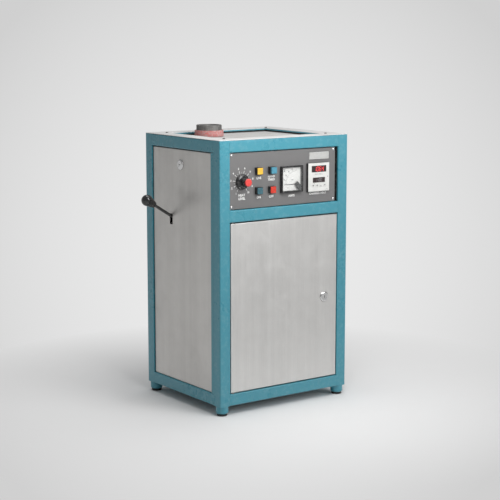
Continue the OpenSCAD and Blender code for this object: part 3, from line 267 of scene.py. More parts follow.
class Groups:
    """The shader groups that several finishes share, each built once."""

    made: dict[str, bpy.types.NodeTree] = {}

    @classmethod
    def begin(cls, name: str, inputs: dict[str, object], outputs: dict[str, str]) -> tuple:
        """Starts a group.

        Args:
            name: the group's name.
            inputs: the first value of each input; a tuple of 4 is a colour, of 3 a vector.
            outputs: the kind of each output, Color or Float.

        Returns:
            The sheet, the input node and the output node.
        """
        tree = bpy.data.node_groups.new(name, "ShaderNodeTree")
        for title, value in inputs.items():
            kind = "Float"
            if isinstance(value, tuple):
                kind = "Color" if len(value) == 4 else "Vector"
            socket = tree.interface.new_socket(title, in_out="INPUT", socket_type="NodeSocket" + kind)
            socket.default_value = value
        for title, kind in outputs.items():
            tree.interface.new_socket(title, in_out="OUTPUT", socket_type="NodeSocket" + kind)
        cls.made[name] = tree
        sheet = Sheet(tree)
        return sheet, sheet.add("NodeGroupInput"), sheet.add("NodeGroupOutput")

    @classmethod
    def use(cls, sheet: Sheet, name: str, at: object, *values: object) -> bpy.types.Node:
        """Places a group in a material.

        Args:
            sheet: the material's sheet.
            name: which group.
            at: the place that goes into its Vector.
            values: its other inputs, in the order in which the group lists them.

        Returns:
            The group node.
        """
        if name not in cls.made:
            getattr(cls, "_" + name)()
        node = sheet.add("ShaderNodeGroup", node_tree=cls.made[name])
        others = [socket.name for socket in node.inputs if socket.name != "Vector"]
        sheet.fill(node, {"Vector": at, **dict(zip(others, values))})
        return node

    @classmethod
    def _patchy(cls) -> None:
        """Colour that drifts over the surface at two sizes."""
        s, i, o = cls.begin(
            "patchy",
            {"Color": WHITE, "Vector": NOWHERE, "Scale": 12.0, "Amount": 0.15},
            COLOR_AND_MASK,
        )
        wide = s.noise(i.outputs["Vector"], 1.0, 2.0)
        s.feed(i.outputs["Scale"], wide.node.inputs["Scale"])
        fine = s.noise(i.outputs["Vector"], 1.0, 5.0, 0.65)
        s.feed(s.times(i.outputs["Scale"], 9.0), fine.node.inputs["Scale"])
        both = s.math("ADD", s.times(wide, 0.65), s.times(fine, 0.35))
        mask = s.ramp(both, 0.36, 0.64)
        swing = s.times(s.math("SUBTRACT", mask, 0.5), i.outputs["Amount"])
        tone = s.add("ShaderNodeHueSaturation", {"Color": i.outputs["Color"]})
        s.feed(s.math("ADD", swing, 1.0), tone.inputs["Value"])
        s.feed(tone.outputs["Color"], o.inputs["Color"])
        s.feed(mask, o.inputs["Mask"])

    @classmethod
    def _corner_shade_and_soil(cls) -> None:
        """Painted shade that darkens corners and creases, found by ambient occlusion, mixed with soiling and
        broken up by noise.
        """
        s, i, o = cls.begin(
            "corner_shade_and_soil",
            {"Color": WHITE, "Shade_Soil": CORNER_SHADE_TONE, "Vector": NOWHERE, "Reach": 0.012, "Amount": 0.5},
            COLOR_AND_MASK,
        )
        # painted shade: occlusion finds corners and creases, and the colour is darkened there
        shade = s.add("ShaderNodeAmbientOcclusion", samples=4)
        s.feed(i.outputs["Reach"], shade.inputs["Distance"])
        near = s.ramp(shade.outputs["AO"], 0.35, 0.95, 1.0, 0.0)
        broken = s.ramp(s.noise(i.outputs["Vector"], 160.0, 4.0, 0.6), 0.3, 0.7, 0.35, 1.0)
        mask = s.times(s.times(near, broken), i.outputs["Amount"])
        s.feed(s.mix(mask, i.outputs["Color"], i.outputs["Shade_Soil"]), o.inputs["Color"])
        s.feed(mask, o.inputs["Mask"])

    @classmethod
    def _rubbed(cls) -> None:
        """Edges where the surface is rubbed through to what lies under it."""
        s, i, o = cls.begin(
            "rubbed",
            {"Color": WHITE, "Under": BARE, "Vector": NOWHERE, "Reach": 0.002, "Amount": 0.5},
            COLOR_AND_MASK,
        )
        edge = s.add("ShaderNodeAmbientOcclusion", samples=4, inside=True)
        s.feed(i.outputs["Reach"], edge.inputs["Distance"])
        near = s.ramp(edge.outputs["AO"], 0.2, 0.75, 1.0, 0.0)
        chips = s.ramp(s.noise(i.outputs["Vector"], 90.0, 6.0, 0.7), 0.5, 0.62)
        mask = s.times(s.times(near, chips), i.outputs["Amount"])
        s.feed(s.mix(mask, i.outputs["Color"], i.outputs["Under"]), o.inputs["Color"])
        s.feed(mask, o.inputs["Mask"])

    @classmethod
    def _brushing(cls) -> None:
        """Long fine lines, as an abrasive belt leaves them."""
        s, i, o = cls.begin(
            "brushing",
            {"Vector": NOWHERE, "Density": 900.0},
            {"Lines": "Float", "Bands": "Float"},
        )
        fine = s.noise(i.outputs["Vector"], 1.0, 4.0, 0.7)
        s.feed(i.outputs["Density"], fine.node.inputs["Scale"])
        band = s.noise(i.outputs["Vector"], 1.0, 2.0)
        s.feed(s.times(i.outputs["Density"], 0.05), band.node.inputs["Scale"])
        s.feed(s.ramp(fine, 0.3, 0.7), o.inputs["Lines"])
        s.feed(s.ramp(band, 0.3, 0.7), o.inputs["Bands"])

    @classmethod
    def _flecks(cls) -> None:
        """Scattered specks of uneven size."""
        s, i, o = cls.begin("flecks", {"Vector": NOWHERE, "Scale": 400.0, "Cover": 0.3}, {"Mask": "Float"})
        cells = s.add("ShaderNodeTexVoronoi", {"Vector": i.outputs["Vector"], "Scale": i.outputs["Scale"]})
        drift = s.noise(i.outputs["Vector"], 1.0, 3.0)
        s.feed(s.times(i.outputs["Scale"], 0.4), drift.node.inputs["Scale"])
        size = s.times(drift, i.outputs["Cover"])
        gap = s.math("SUBTRACT", size, s.times(cells.outputs["Distance"], 0.5))
        s.feed(s.ramp(gap, -0.03, 0.03), o.inputs["Mask"])


# Finishes


@dataclass(frozen=True)
class Finish(ABC):
    """A finish that is built once and shared by the pieces that have it."""

    name: str

    @abstractmethod
    def wire(self, s: Sheet, shader: bpy.types.Node) -> None:
        """Fills the material's nodes.

        Args:
            s: the material's sheet.
            shader: its Principled BSDF.
        """

    def build(self) -> bpy.types.Material:
        """Makes the material, or finds it.

        Returns:
            The material.
        """
        own = self.name + "_finish"
        found = bpy.data.materials.get(own)
        if found:
            return found
        made = bpy.data.materials.new(own)
        made.use_nodes = True
        shader = made.node_tree.nodes["Principled BSDF"]
        self.wire(Sheet(made.node_tree), shader)
        return made


@dataclass(frozen=True)
class Enamel(Finish):
    """Sprayed paint with a light orange peel, rubbed at its edges."""

    color: tuple = hue(56, 135, 152)
    under: tuple = hue(140, 176, 182)
    rough: float = 0.30
    peel: float = 320.0
    wear: float = 0.35
    drift: float = 0.05

    def wire(self, s: Sheet, shader: bpy.types.Node) -> None:
        """Fills the nodes; see Finish."""
        at = s.place()
        tone = Groups.use(s, "patchy", at, self.color, 7.0, self.drift)
        # painted shade with soiling: corners and creases of the enamel are darkened
        shaded_soiled = Groups.use(s, "corner_shade_and_soil", at, tone.outputs["Color"], hue(38, 52, 56), 0.003, 0.22)
        worn = Groups.use(s, "rubbed", at, shaded_soiled.outputs["Color"], self.under, 0.0022, self.wear)
        scuffs = s.ramp(s.noise(s.place((1, 1, 3)), 60.0, 6.0, 0.75), 0.6, 0.74)
        s.feed(s.mix(s.times(scuffs, 0.08), worn.outputs["Color"], self.under), shader.inputs["Base Color"])
        gloss = s.ramp(tone.outputs["Mask"], 0, 1, self.rough - 0.05, self.rough + 0.08)
        s.feed(gloss, shader.inputs["Roughness"])
        peel = s.noise(at, self.peel, 2.0)
        shader.inputs["Specular IOR Level"].default_value = 0.5
        shader.inputs["Coat Weight"].default_value = 0.45
        shader.inputs["Coat Roughness"].default_value = 0.3
        s.feed(s.bump(peel, 0.00008, 0.35), shader.inputs["Normal"])


@dataclass(frozen=True)
class BrushedSteel(Finish):
    """Stainless sheet with belt lines, handling marks and faint smears."""

    color: tuple = hue(206, 204, 200)
    brush: Brush = Brush.UPRIGHT
    rough: float = 0.38
    metal: float = 0.82
    density: float = 900.0
    smear: float = 0.25
    streaks: float = 0.10

    def wire(self, s: Sheet, shader: bpy.types.Node) -> None:
        """Fills the nodes; see Finish."""
        at = s.place()
        lines = Groups.use(s, "brushing", s.place(self.brush.value), self.density)
        tone = Groups.use(s, "patchy", at, self.color, 4.0, 0.08)
        streak = s.ramp(lines.outputs["Bands"], 0, 1, 0.0, self.streaks)
        dark = s.mix(streak, tone.outputs["Color"], hue(150, 148, 146), "MULTIPLY")
        hair = s.mix(s.ramp(lines.outputs["Lines"], 0, 1, 0.12, 0.0), dark, hue(120, 118, 116), "MULTIPLY")
        # painted shade with soiling: corners and creases of the steel are darkened
        shaded_soiled = Groups.use(s, "corner_shade_and_soil", at, hair, hue(92, 88, 84), 0.008, 0.35)
        s.feed(shaded_soiled.outputs["Color"], shader.inputs["Base Color"])
        shader.inputs["Metallic"].default_value = self.metal
        prints = s.ramp(s.noise(at, 22.0, 5.0, 0.7), 0.48, 0.66, 0.0, self.smear)
        grain = s.ramp(lines.outputs["Lines"], 0, 1, self.rough - 0.06, self.rough + 0.1)
        s.feed(s.math("ADD", grain, s.times(prints, 0.4)), shader.inputs["Roughness"])
        s.feed(s.bump(lines.outputs["Lines"], 0.00003, 0.6), shader.inputs["Normal"])


@dataclass(frozen=True)
class Turned(Finish):
    """Machined or plated metal with fine tool rings."""

    color: tuple = hue(190, 190, 188)
    rough: float = 0.24
    metal: float = 1.0
    dull: float = 0.15

    def wire(self, s: Sheet, shader: bpy.types.Node) -> None:
        """Fills the nodes; see Finish."""
        at = s.place()
        tone = Groups.use(s, "patchy", at, self.color, 60.0, 0.12)
        # painted shade with soiling: corners and creases of the metal are darkened
        shaded_soiled = Groups.use(s, "corner_shade_and_soil", at, tone.outputs["Color"], hue(70, 64, 58), 0.003, 0.6)
        s.feed(shaded_soiled.outputs["Color"], shader.inputs["Base Color"])
        shader.inputs["Metallic"].default_value = self.metal
        rings = s.noise(s.place((1, 1, 1)), 900.0, 3.0, 0.6)
        polish = s.ramp(rings, 0.3, 0.7, self.rough - 0.04, self.rough + 0.06)
        gloss = s.math("ADD", polish, s.times(shaded_soiled.outputs["Mask"], self.dull))
        s.feed(gloss, shader.inputs["Roughness"])
        s.feed(s.bump(rings, 0.00003, 0.4), shader.inputs["Normal"])


@dataclass(frozen=True)
class SheetZinc(Finish):
    """Galvanised sheet with its spangle."""

    color: tuple = hue(168, 172, 174)
    rough: float = 0.42

    def wire(self, s: Sheet, shader: bpy.types.Node) -> None:
        """Fills the nodes; see Finish."""
        at = s.place()
        cells = s.add("ShaderNodeTexVoronoi", {"Vector": at, "Scale": 95.0})
        grey = s.add("ShaderNodeRGBToBW", {"Color": cells.outputs["Color"]})
        tone = s.mix(s.ramp(grey.outputs["Val"], 0, 1, 0.0, 0.3), self.color, hue(128, 134, 140))
        patch = Groups.use(s, "patchy", at, tone, 9.0, 0.12)
        # painted shade with soiling: corners and creases of the sheet are darkened
        shaded_soiled = Groups.use(s, "corner_shade_and_soil", at, patch.outputs["Color"], hue(80, 74, 66), 0.02, 0.5)
        s.feed(shaded_soiled.outputs["Color"], shader.inputs["Base Color"])
        shader.inputs["Metallic"].default_value = 0.85
        gloss = s.ramp(grey.outputs["Val"], 0, 1, self.rough - 0.1, self.rough + 0.12)
        s.feed(gloss, shader.inputs["Roughness"])
        s.feed(s.bump(s.noise(at, 300.0, 3.0), 0.00005, 0.4), shader.inputs["Normal"])


@dataclass(frozen=True)
class Moulded(Finish):
    """Moulded plastic or rubber with a fine skin."""

    color: tuple = hue(20, 20, 22)
    rough: float = 0.35
    skin: float = 1200.0
    depth: float = 0.00004
    dust: float = 0.25
    clear: float = 0.0

    def wire(self, s: Sheet, shader: bpy.types.Node) -> None:
        """Fills the nodes; see Finish."""
        at = s.place()
        tone = Groups.use(s, "patchy", at, self.color, 40.0, 0.10)
        dust = s.ramp(s.noise(at, 120.0, 6.0, 0.75), 0.52, 0.7, 0.0, self.dust)
        s.feed(s.mix(dust, tone.outputs["Color"], hue(150, 146, 140), "SCREEN"), shader.inputs["Base Color"])
        gloss = s.ramp(tone.outputs["Mask"], 0, 1, self.rough - 0.04, self.rough + 0.07)
        s.feed(gloss, shader.inputs["Roughness"])
        shader.inputs["Coat Weight"].default_value = self.clear
        shader.inputs["Coat Roughness"].default_value = 0.06
        s.feed(s.bump(s.noise(at, self.skin, 2.0), self.depth, 0.5), shader.inputs["Normal"])


@dataclass(frozen=True)
class Refractory(Finish):
    """Pressed fibre board or fired clay, with pits and scorch marks."""

    color: tuple = hue(222, 220, 216)
    fleck: tuple = hue(176, 170, 162)
    scorch: tuple = hue(150, 138, 126)
    cover: float = 0.35
    grain: float = 420.0
    rough: float = 0.9
    depth: float = 0.0004
    burnt: float = 0.35

    def wire(self, s: Sheet, shader: bpy.types.Node) -> None:
        """Fills the nodes; see Finish."""
        at = s.place()
        tone = Groups.use(s, "patchy", at, self.color, 16.0, 0.14)
        specks = Groups.use(s, "flecks", at, self.grain, self.cover)
        spotted = s.mix(specks.outputs["Mask"], tone.outputs["Color"], self.fleck)
        mark = s.ramp(s.noise(at, 11.0, 5.0, 0.65), 0.5, 0.72, 0.0, self.burnt)
        stained = s.mix(mark, spotted, self.scorch)
        # painted shade with soiling: corners and creases of the board and clay are darkened
        shaded_soiled = Groups.use(s, "corner_shade_and_soil", at, stained, hue(60, 54, 50), 0.01, 0.55)
        s.feed(shaded_soiled.outputs["Color"], shader.inputs["Base Color"])
        shader.inputs["Roughness"].default_value = self.rough
        grit = s.noise(at, self.grain * 1.5, 4.0, 0.6)
        height = s.math("ADD", grit, s.times(specks.outputs["Mask"], 0.35))
        s.feed(s.bump(height, self.depth, 0.6), shader.inputs["Normal"])


@dataclass(frozen=True)
class Graphite(Finish):
    """Turned graphite, mottled by heat, with a soft sheen."""

    color: tuple = hue(104, 103, 101)

    def wire(self, s: Sheet, shader: bpy.types.Node) -> None:
        """Fills the nodes; see Finish."""
        at = s.place()
        tone = Groups.use(s, "patchy", at, self.color, 34.0, 0.55)
        ash = s.ramp(s.noise(at, 70.0, 6.0, 0.7), 0.52, 0.68, 0.0, 0.55)
        dusted = s.mix(ash, tone.outputs["Color"], hue(150, 148, 144))
        pits = Groups.use(s, "flecks", at, 620.0, 0.3)
        dark = s.mix(s.times(pits.outputs["Mask"], 0.7), dusted, hue(38, 37, 36))
        edge = Groups.use(s, "rubbed", at, dark, hue(168, 166, 162), 0.003, 0.6)
        s.feed(edge.outputs["Color"], shader.inputs["Base Color"])
        shader.inputs["Metallic"].default_value = 0.15
        s.feed(s.ramp(ash, 0, 0.55, 0.48, 0.8), shader.inputs["Roughness"])
        rings = s.noise(s.place((0.04, 0.04, 1.0)), 900.0, 2.0)
        height = s.math("SUBTRACT", s.times(rings, 0.5), s.times(pits.outputs["Mask"], 0.6))
        s.feed(s.bump(height, 0.0002, 0.6), shader.inputs["Normal"])


@dataclass(frozen=True)
class ClearCover(Finish):
    """A clear moulded cover with faint scratches."""

    def wire(self, s: Sheet, shader: bpy.types.Node) -> None:
        """Fills the nodes; see Finish."""
        at = s.place()
        scratch = s.ramp(s.noise(s.place((1, 1, 9)), 240.0, 6.0, 0.8), 0.6, 0.76, 0.03, 0.12)
        s.feed(scratch, shader.inputs["Roughness"])
        shader.inputs["Base Color"].default_value = (0.5, 0.52, 0.52, 1)
        shader.inputs["Alpha"].default_value = 0.07
        s.feed(s.bump(s.noise(at, 40.0, 2.0), 0.00002, 0.3), shader.inputs["Normal"])


@dataclass(frozen=True)
class Lens(Finish):
    """A coloured push switch head, with a fine ribbed lens under a clear skin."""

    color: tuple = hue(230, 180, 52)
    glow: float = 0.25

    def wire(self, s: Sheet, shader: bpy.types.Node) -> None:
        """Fills the nodes; see Finish."""
        at = s.place()
        waves = {"Vector": at, "Scale": 260.0, "Distortion": 0.0}
        ribs = s.add("ShaderNodeTexWave", waves, bands_direction="X")
        cross = s.add("ShaderNodeTexWave", waves, bands_direction="Z")
        grid = s.times(ribs.outputs["Fac"], cross.outputs["Fac"])
        tone = Groups.use(s, "patchy", at, self.color, 70.0, 0.12)
        shaded = s.mix(s.ramp(grid, 0, 1, 0.28, 0.0), tone.outputs["Color"], (0.02, 0.02, 0.02, 1))
        s.feed(shaded, shader.inputs["Base Color"])
        s.feed(shaded, shader.inputs["Emission Color"])
        shader.inputs["Emission Strength"].default_value = self.glow
        s.feed(s.ramp(tone.outputs["Mask"], 0, 1, 0.2, 0.32), shader.inputs["Roughness"])
        shader.inputs["Coat Weight"].default_value = 0.6
        s.feed(s.bump(grid, 0.0001, 0.4), shader.inputs["Normal"])


@dataclass(frozen=True)
class Ink(Finish):
    """Screen printed ink, a little uneven in its cover."""

    color: tuple = hue(232, 232, 230)
    glow: float = 0.0
    thin: float = 0.18

    def wire(self, s: Sheet, shader: bpy.types.Node) -> None:
        """Fills the nodes; see Finish."""
        at = s.place()
        tone = Groups.use(s, "patchy", at, self.color, 150.0, self.thin)
        s.feed(tone.outputs["Color"], shader.inputs["Base Color"])
        s.feed(s.ramp(tone.outputs["Mask"], 0, 1, 0.4, 0.6), shader.inputs["Roughness"])
        if self.glow:
            s.feed(tone.outputs["Color"], shader.inputs["Emission Color"])
            shader.inputs["Emission Strength"].default_value = self.glow
        s.feed(s.bump(s.noise(at, 2500.0, 2.0), 0.00001, 0.5), shader.inputs["Normal"])


@dataclass(frozen=True)
class BurntWire(Finish):
    """Resistance wire with a heat scale on it."""

    def wire(self, s: Sheet, shader: bpy.types.Node) -> None:
        """Fills the nodes; see Finish."""
        at = s.place()
        tone = Groups.use(s, "patchy", at, hue(96, 82, 74), 45.0, 0.5)
        scale = Groups.use(s, "flecks", at, 700.0, 0.5)
        burnt = s.mix(scale.outputs["Mask"], tone.outputs["Color"], hue(52, 46, 44))
        s.feed(burnt, shader.inputs["Base Color"])
        shader.inputs["Metallic"].default_value = 0.5
        shader.inputs["Roughness"].default_value = 0.62
        s.feed(s.bump(scale.outputs["Mask"], 0.0001, 0.5), shader.inputs["Normal"])


# Mesh tools


def link(mesh: bpy.types.Mesh, name: str) -> bpy.types.Object:
    """Puts a mesh into the scene.

    Args:
        mesh: the mesh, with its place in its vertices.
        name: the piece's name.

    Returns:
        The object, at the origin.
    """
    made = bpy.data.objects.new(name, mesh)
    bpy.context.scene.collection.objects.link(made)
    return made


def baked(obj: bpy.types.Object, name: str) -> bpy.types.Object:
    """Turns an object with live modifiers into a plain mesh object.

    Args:
        obj: the object, which is removed.
        name: the new piece's name.

    Returns:
        The plain piece, with the object's own place applied.
    """
    bpy.context.view_layer.update()
    graph = bpy.context.evaluated_depsgraph_get()
    mesh = bpy.data.meshes.new_from_object(obj.evaluated_get(graph))
    mesh.transform(obj.matrix_world)
    bpy.data.objects.remove(obj)
    return link(mesh, name)


def joined(name: str, meshes: list[bpy.types.Object]) -> bpy.types.Object:
    """Makes one piece of several mesh objects that share a material.

    Args:
        name: the piece's name.
        meshes: the objects, which are removed.

    Returns:
        The piece.
    """
    whole = bmesh.new()
    slots: list[bpy.types.Material] = []
    for part in meshes:
        start = len(whole.faces)
        whole.from_mesh(part.data)
        whole.faces.ensure_lookup_table()
        for face in whole.faces[start:]:
            own = part.data.materials[face.material_index] if part.data.materials else None
            if own not in slots:
                slots.append(own)
            face.material_index = slots.index(own)
        bpy.data.objects.remove(part)
    mesh = bpy.data.meshes.new(name)
    whole.to_mesh(mesh)
    whole.free()
    for material in slots:
        mesh.materials.append(material)
    return link(mesh, name)


def smooth_by_angle(mesh: bpy.types.Mesh, limit: float) -> None:
    """Smooth faces, with the edges over a limit left sharp.

    Args:
        mesh: the mesh.
        limit: the angle in degrees.
    """
    work = bmesh.new()
    work.from_mesh(mesh)
    for face in work.faces:
        face.smooth = True
    for edge in work.edges:
        edge.smooth = len(edge.link_faces) == 2 and edge.calc_face_angle(0.0) < math.radians(limit)
    work.to_mesh(mesh)
    work.free()


def dress(obj: bpy.types.Object, finish: Finish) -> None:
    """Gives a piece one finish.

    Args:
        obj: the piece.
        finish: its finish.
    """
    obj.data.materials.clear()
    obj.data.materials.append(finish.build())


def refined(node: str, finish: Finish, soften: float, merge: bool) -> bpy.types.Object:
    """A welded copy of a CAD node, with its sharp edges broken, which then stands for it.

    Args:
        node: the CAD node; the piece is named after it.
        finish: its finish.
        soften: width of the broken edges, in millimetres; 0 leaves them.
        merge: whether triangles in one plane become one face.

    Returns:
        The piece, riding on the node's body.
    """
    source = frame["nodes"][node]
    name = node + "_piece"
    work = bmesh.new()
    work.from_mesh(source.data)
    bmesh.ops.remove_doubles(work, verts=work.verts, dist=WELD)
    if merge:
        bmesh.ops.dissolve_limit(
            work, angle_limit=FLAT, verts=work.verts, edges=work.edges, delimit={"NORMAL"}
        )
    mesh = bpy.data.meshes.new(name + "_raw")
    work.to_mesh(mesh)
    work.free()
    copy = link(mesh, name + "_raw")
    mesh.materials.clear()
    smooth_by_angle(mesh, SHARP)
    if soften:
        edge = copy.modifiers.new("edge", "BEVEL")
        edge.width = soften * MM
        edge.segments = 2
        edge.limit_method = "ANGLE"
        edge.angle_limit = math.radians(SHARP)
        edge.use_clamp_overlap = True
        edge.miter_outer = "MITER_ARC"
        even = copy.modifiers.new("even", "WEIGHTED_NORMAL")
        even.keep_sharp = True
    piece = baked(copy, name)
    dress(piece, finish)
    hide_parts(node)
    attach(piece, source["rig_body"])
    return piece


def paint_faces(piece: bpy.types.Object, finish: Finish, chosen: Callable[[Vector, Vector], bool]) -> None:
    """Gives some of a piece's faces a second finish.

    Args:
        piece: the piece.
        finish: the second finish.
        chosen: says from a face's middle and normal whether it takes the finish.
    """
    piece.data.materials.append(finish.build())
    slot = len(piece.data.materials) - 1
    for face in piece.data.polygons:
        if chosen(face.center, face.normal):
            face.material_index = slot


def front_text(
    words: str, x: float, z: float, y: float, height: float, bold: float = 0.0, wide: float = 1.0
) -> bpy.types.Object:
    """Generic words or numbers as a thin mesh that faces the front.

    Args:
        words: what is printed.
        x: middle of the words.
        z: middle of the words.
        y: the face that they lie on.
        height: height of a capital, in metres.
        bold: thickening, as a share of the height.
        wide: stretch sideways.

    Returns:
        The mesh object.
    """
    curve = bpy.data.curves.new("words", "FONT")
    curve.body = words
    curve.align_x = "CENTER"
    curve.align_y = "CENTER"
    curve.size = height / 0.7
    curve.offset = bold * height
    curve.extrude = 0.00006
    curve.resolution_u = 3
    obj = bpy.data.objects.new("words", curve)
    bpy.context.scene.collection.objects.link(obj)
    upright = Euler((math.pi / 2, 0, 0)).to_matrix().to_4x4()
    obj.matrix_world = Matrix.Translation((x, y, z)) @ upright @ Matrix.Diagonal((wide, 1, 1, 1))
    return baked(obj, "words_mesh")


def slab(
    x0: float, x1: float, y0: float, y1: float, z0: float, z1: float,
    round_by: float = 0.0, name: str = "slab",
) -> bpy.types.Object:
    """A thin upright plate with round corners, as seen from the front.

    Args:
        x0: left.
        x1: right.
        y0: front.
        y1: back.
        z0: bottom.
        z1: top.
        round_by: corner radius.
        name: its name.

    Returns:
        The mesh object.
    """
    work = bmesh.new()
    ring = []
    steps = 6 if round_by else 1
    corners = [(x1, z0, -90.0), (x1, z1, 0.0), (x0, z1, 90.0), (x0, z0, 180.0)]
    for cx, cz, first in corners:
        mx = cx - math.copysign(round_by, cx - (x0 + x1) / 2)
        mz = cz - math.copysign(round_by, cz - (z0 + z1) / 2)
        for step in range(steps):
            angle = math.radians(first + 90.0 * step / max(steps - 1, 1))
            across, up = round_by * math.cos(angle), round_by * math.sin(angle)
            ring.append(work.verts.new((mx + across, y0, mz + up)))
    face = work.faces.new(ring)
    extruded = bmesh.ops.extrude_face_region(work, geom=[face])
    moved = [v for v in extruded["geom"] if isinstance(v, bmesh.types.BMVert)]
    bmesh.ops.translate(work, vec=(0, y1 - y0, 0), verts=moved)
    bmesh.ops.recalc_face_normals(work, faces=work.faces)
    mesh = bpy.data.meshes.new(name)
    work.to_mesh(mesh)
    work.free()
    return link(mesh, name)


class MarkTree:
    """Geometry Nodes trees that set marks round an arc or along a line."""

    def __init__(self, name: str, inputs: dict[str, tuple[str, object]]) -> None:
        """Starts a tree with a geometry output.

        Args:
            name: the tree's name.
            inputs: kind and first value of each named input.
        """
        self.tree = bpy.data.node_groups.new(name, "GeometryNodeTree")
        self.tree.interface.new_socket("Geometry", in_out="OUTPUT", socket_type="NodeSocketGeometry")
        self.ids: dict[str, str] = {}
        for title, (kind, value) in inputs.items():
            socket = self.tree.interface.new_socket(title, in_out="INPUT", socket_type="NodeSocket" + kind)
            if value is not None:
                socket.default_value = value
            self.ids[title] = socket.identifier
        self.s = Sheet(self.tree)
        self.into = self.s.add("NodeGroupInput")
        self.out = self.s.add("NodeGroupOutput")

    def run(self, name: str, values: dict[str, object]) -> bpy.types.Object:
        """Runs the tree once and keeps its result as a plain mesh.

        Args:
            name: the piece's name.
            values: the inputs by name.

        Returns:
            The mesh object.
        """
        holder = link(bpy.data.meshes.new(name + "_seed"), name + "_seed")
        live = holder.modifiers.new("marks", "NODES")
        live.node_group = self.tree
        for title, value in values.items():
            live[self.ids[title]] = value
        return baked(holder, name)


def arc_marks() -> MarkTree:
    """A tree that sets small bars round an arc in the upright plane.

    Returns:
        The tree, with inputs Count, Radius, Start, Step, Width, Length, Depth and Finish.
    """
    kit = MarkTree(
        "arc_marks",
        {
            "Count": ("Int", 10),
            "Radius": ("Float", 0.03),
            "Start": ("Float", 0.0),
            "Step": ("Float", 0.5),
            "Width": ("Float", 0.0005),
            "Length": ("Float", 0.004),
            "Depth": ("Float", 0.0001),
            "Finish": ("Material", None),
        },
    )
    s, i = kit.s, kit.into.outputs
    points = s.add("GeometryNodePoints", {"Count": i["Count"]})
    index = s.add("GeometryNodeInputIndex").outputs[0]
    angle = s.math("SUBTRACT", i["Start"], s.times(index, i["Step"]))
    where = s.add(
        "ShaderNodeCombineXYZ",
        {
            "X": s.times(i["Radius"], s.math("COSINE", angle)),
            "Y": 0.0,
            "Z": s.times(i["Radius"], s.math("SINE", angle)),
        },
    )
    set_at = s.add("GeometryNodeSetPosition", {"Geometry": points.outputs[0], "Position": where.outputs[0]})
    size = s.add("ShaderNodeCombineXYZ", {"X": i["Length"], "Y": i["Depth"], "Z": i["Width"]})
    bar = s.add("GeometryNodeMeshCube", {"Size": size.outputs[0]})
    turn = s.add("ShaderNodeCombineXYZ", {"X": 0.0, "Y": s.times(angle, -1.0), "Z": 0.0})
    spread = s.add(
        "GeometryNodeInstanceOnPoints",
        {"Points": set_at.outputs[0], "Instance": bar.outputs["Mesh"], "Rotation": turn.outputs[0]},
    )
    real = s.add("GeometryNodeRealizeInstances", {"Geometry": spread.outputs[0]})
    painted = s.add("GeometryNodeSetMaterial", {"Geometry": real.outputs[0], "Material": i["Finish"]})
    s.feed(painted.outputs[0], kit.out.inputs[0])
    return kit


def bead_run() -> MarkTree:
    """A tree that lays overlapping weld beads along a line, each a little different.

    Returns:
        The tree, with inputs From, To, Count, Size, Seed and Finish.
    """
    kit = MarkTree(
        "bead_run",
        {
            "From": ("Vector", (0.0, 0.0, 0.0)),
            "To": ("Vector", (0.0, 0.0, 1.0)),
            "Count": ("Int", 20),
            "Size": ("Float", 0.003),
            "Seed": ("Int", 1),
            "Finish": ("Material", None),
        },
    )
    s, i = kit.s, kit.into.outputs
    line = s.add(
        "GeometryNodeMeshLine",
        {"Count": i["Count"], "Start Location": i["From"], "Offset": i["To"]},
        mode="END_POINTS",
    )
    bead = s.add("GeometryNodeMeshIcoSphere", {"Radius": i["Size"], "Subdivisions": 2})
    vary = s.add("FunctionNodeRandomValue", {"Seed": i["Seed"]}, data_type="FLOAT")
    s.feed(0.82, vary.inputs[2])
    s.feed(1.1, vary.inputs[3])
    spin = s.add("FunctionNodeRandomValue", {"Seed": i["Seed"]}, data_type="FLOAT_VECTOR")
    s.feed((-0.5, -0.5, -0.5), spin.inputs[0])
    s.feed((0.5, 0.5, 0.5), spin.inputs[1])
    spread = s.add(
        "GeometryNodeInstanceOnPoints",
        {
            "Points": line.outputs[0],
            "Instance": bead.outputs["Mesh"],
            "Rotation": spin.outputs[0],
            "Scale": vary.outputs[1],
        },
    )
    real = s.add("GeometryNodeRealizeInstances", {"Geometry": spread.outputs[0]})
    flat = s.add("GeometryNodeSetShadeSmooth", {"Geometry": real.outputs[0]})
    painted = s.add("GeometryNodeSetMaterial", {"Geometry": flat.outputs[0], "Material": i["Finish"]})
    s.feed(painted.outputs[0], kit.out.inputs[0])
    return kit


# Sub-assemblies

TEAL = Enamel("teal_enamel")
PANEL_GREY = Enamel(
    "panel_grey", color=hue(103, 102, 102), under=hue(150, 150, 149),
    rough=0.45, peel=900.0, wear=0.35, drift=0.06,
)
COVER_STEEL = BrushedSteel("cover_steel", color=hue(214, 212, 209))
DOOR_STEEL = BrushedSteel("door_steel", color=hue(218, 217, 215), rough=0.34)
TRIM_STEEL = BrushedSteel("trim_steel", color=hue(225, 224, 223), brush=Brush.ACROSS, rough=0.45, metal=0.3)
ZINC = SheetZinc("zinc_sheet")
CHROME = Turned("chrome_plate", color=hue(214, 214, 214), rough=0.12)
STEEL = Turned("turned_steel", color=hue(150, 148, 146), rough=0.3)
DARK_STEEL = Turned("oiled_steel", color=hue(92, 92, 92), rough=0.34)
BRASS = Turned("brass", color=hue(196, 158, 88), rough=0.28)
GLOSS_BLACK = Moulded("gloss_black", color=hue(22, 22, 24), rough=0.22, clear=0.5)
MATTE_BLACK = Moulded("matte_black", color=hue(30, 30, 31), rough=0.55)
RUBBER = Moulded("pad_rubber", color=hue(36, 36, 37), rough=0.8, skin=700.0, depth=0.0001, dust=0.4)
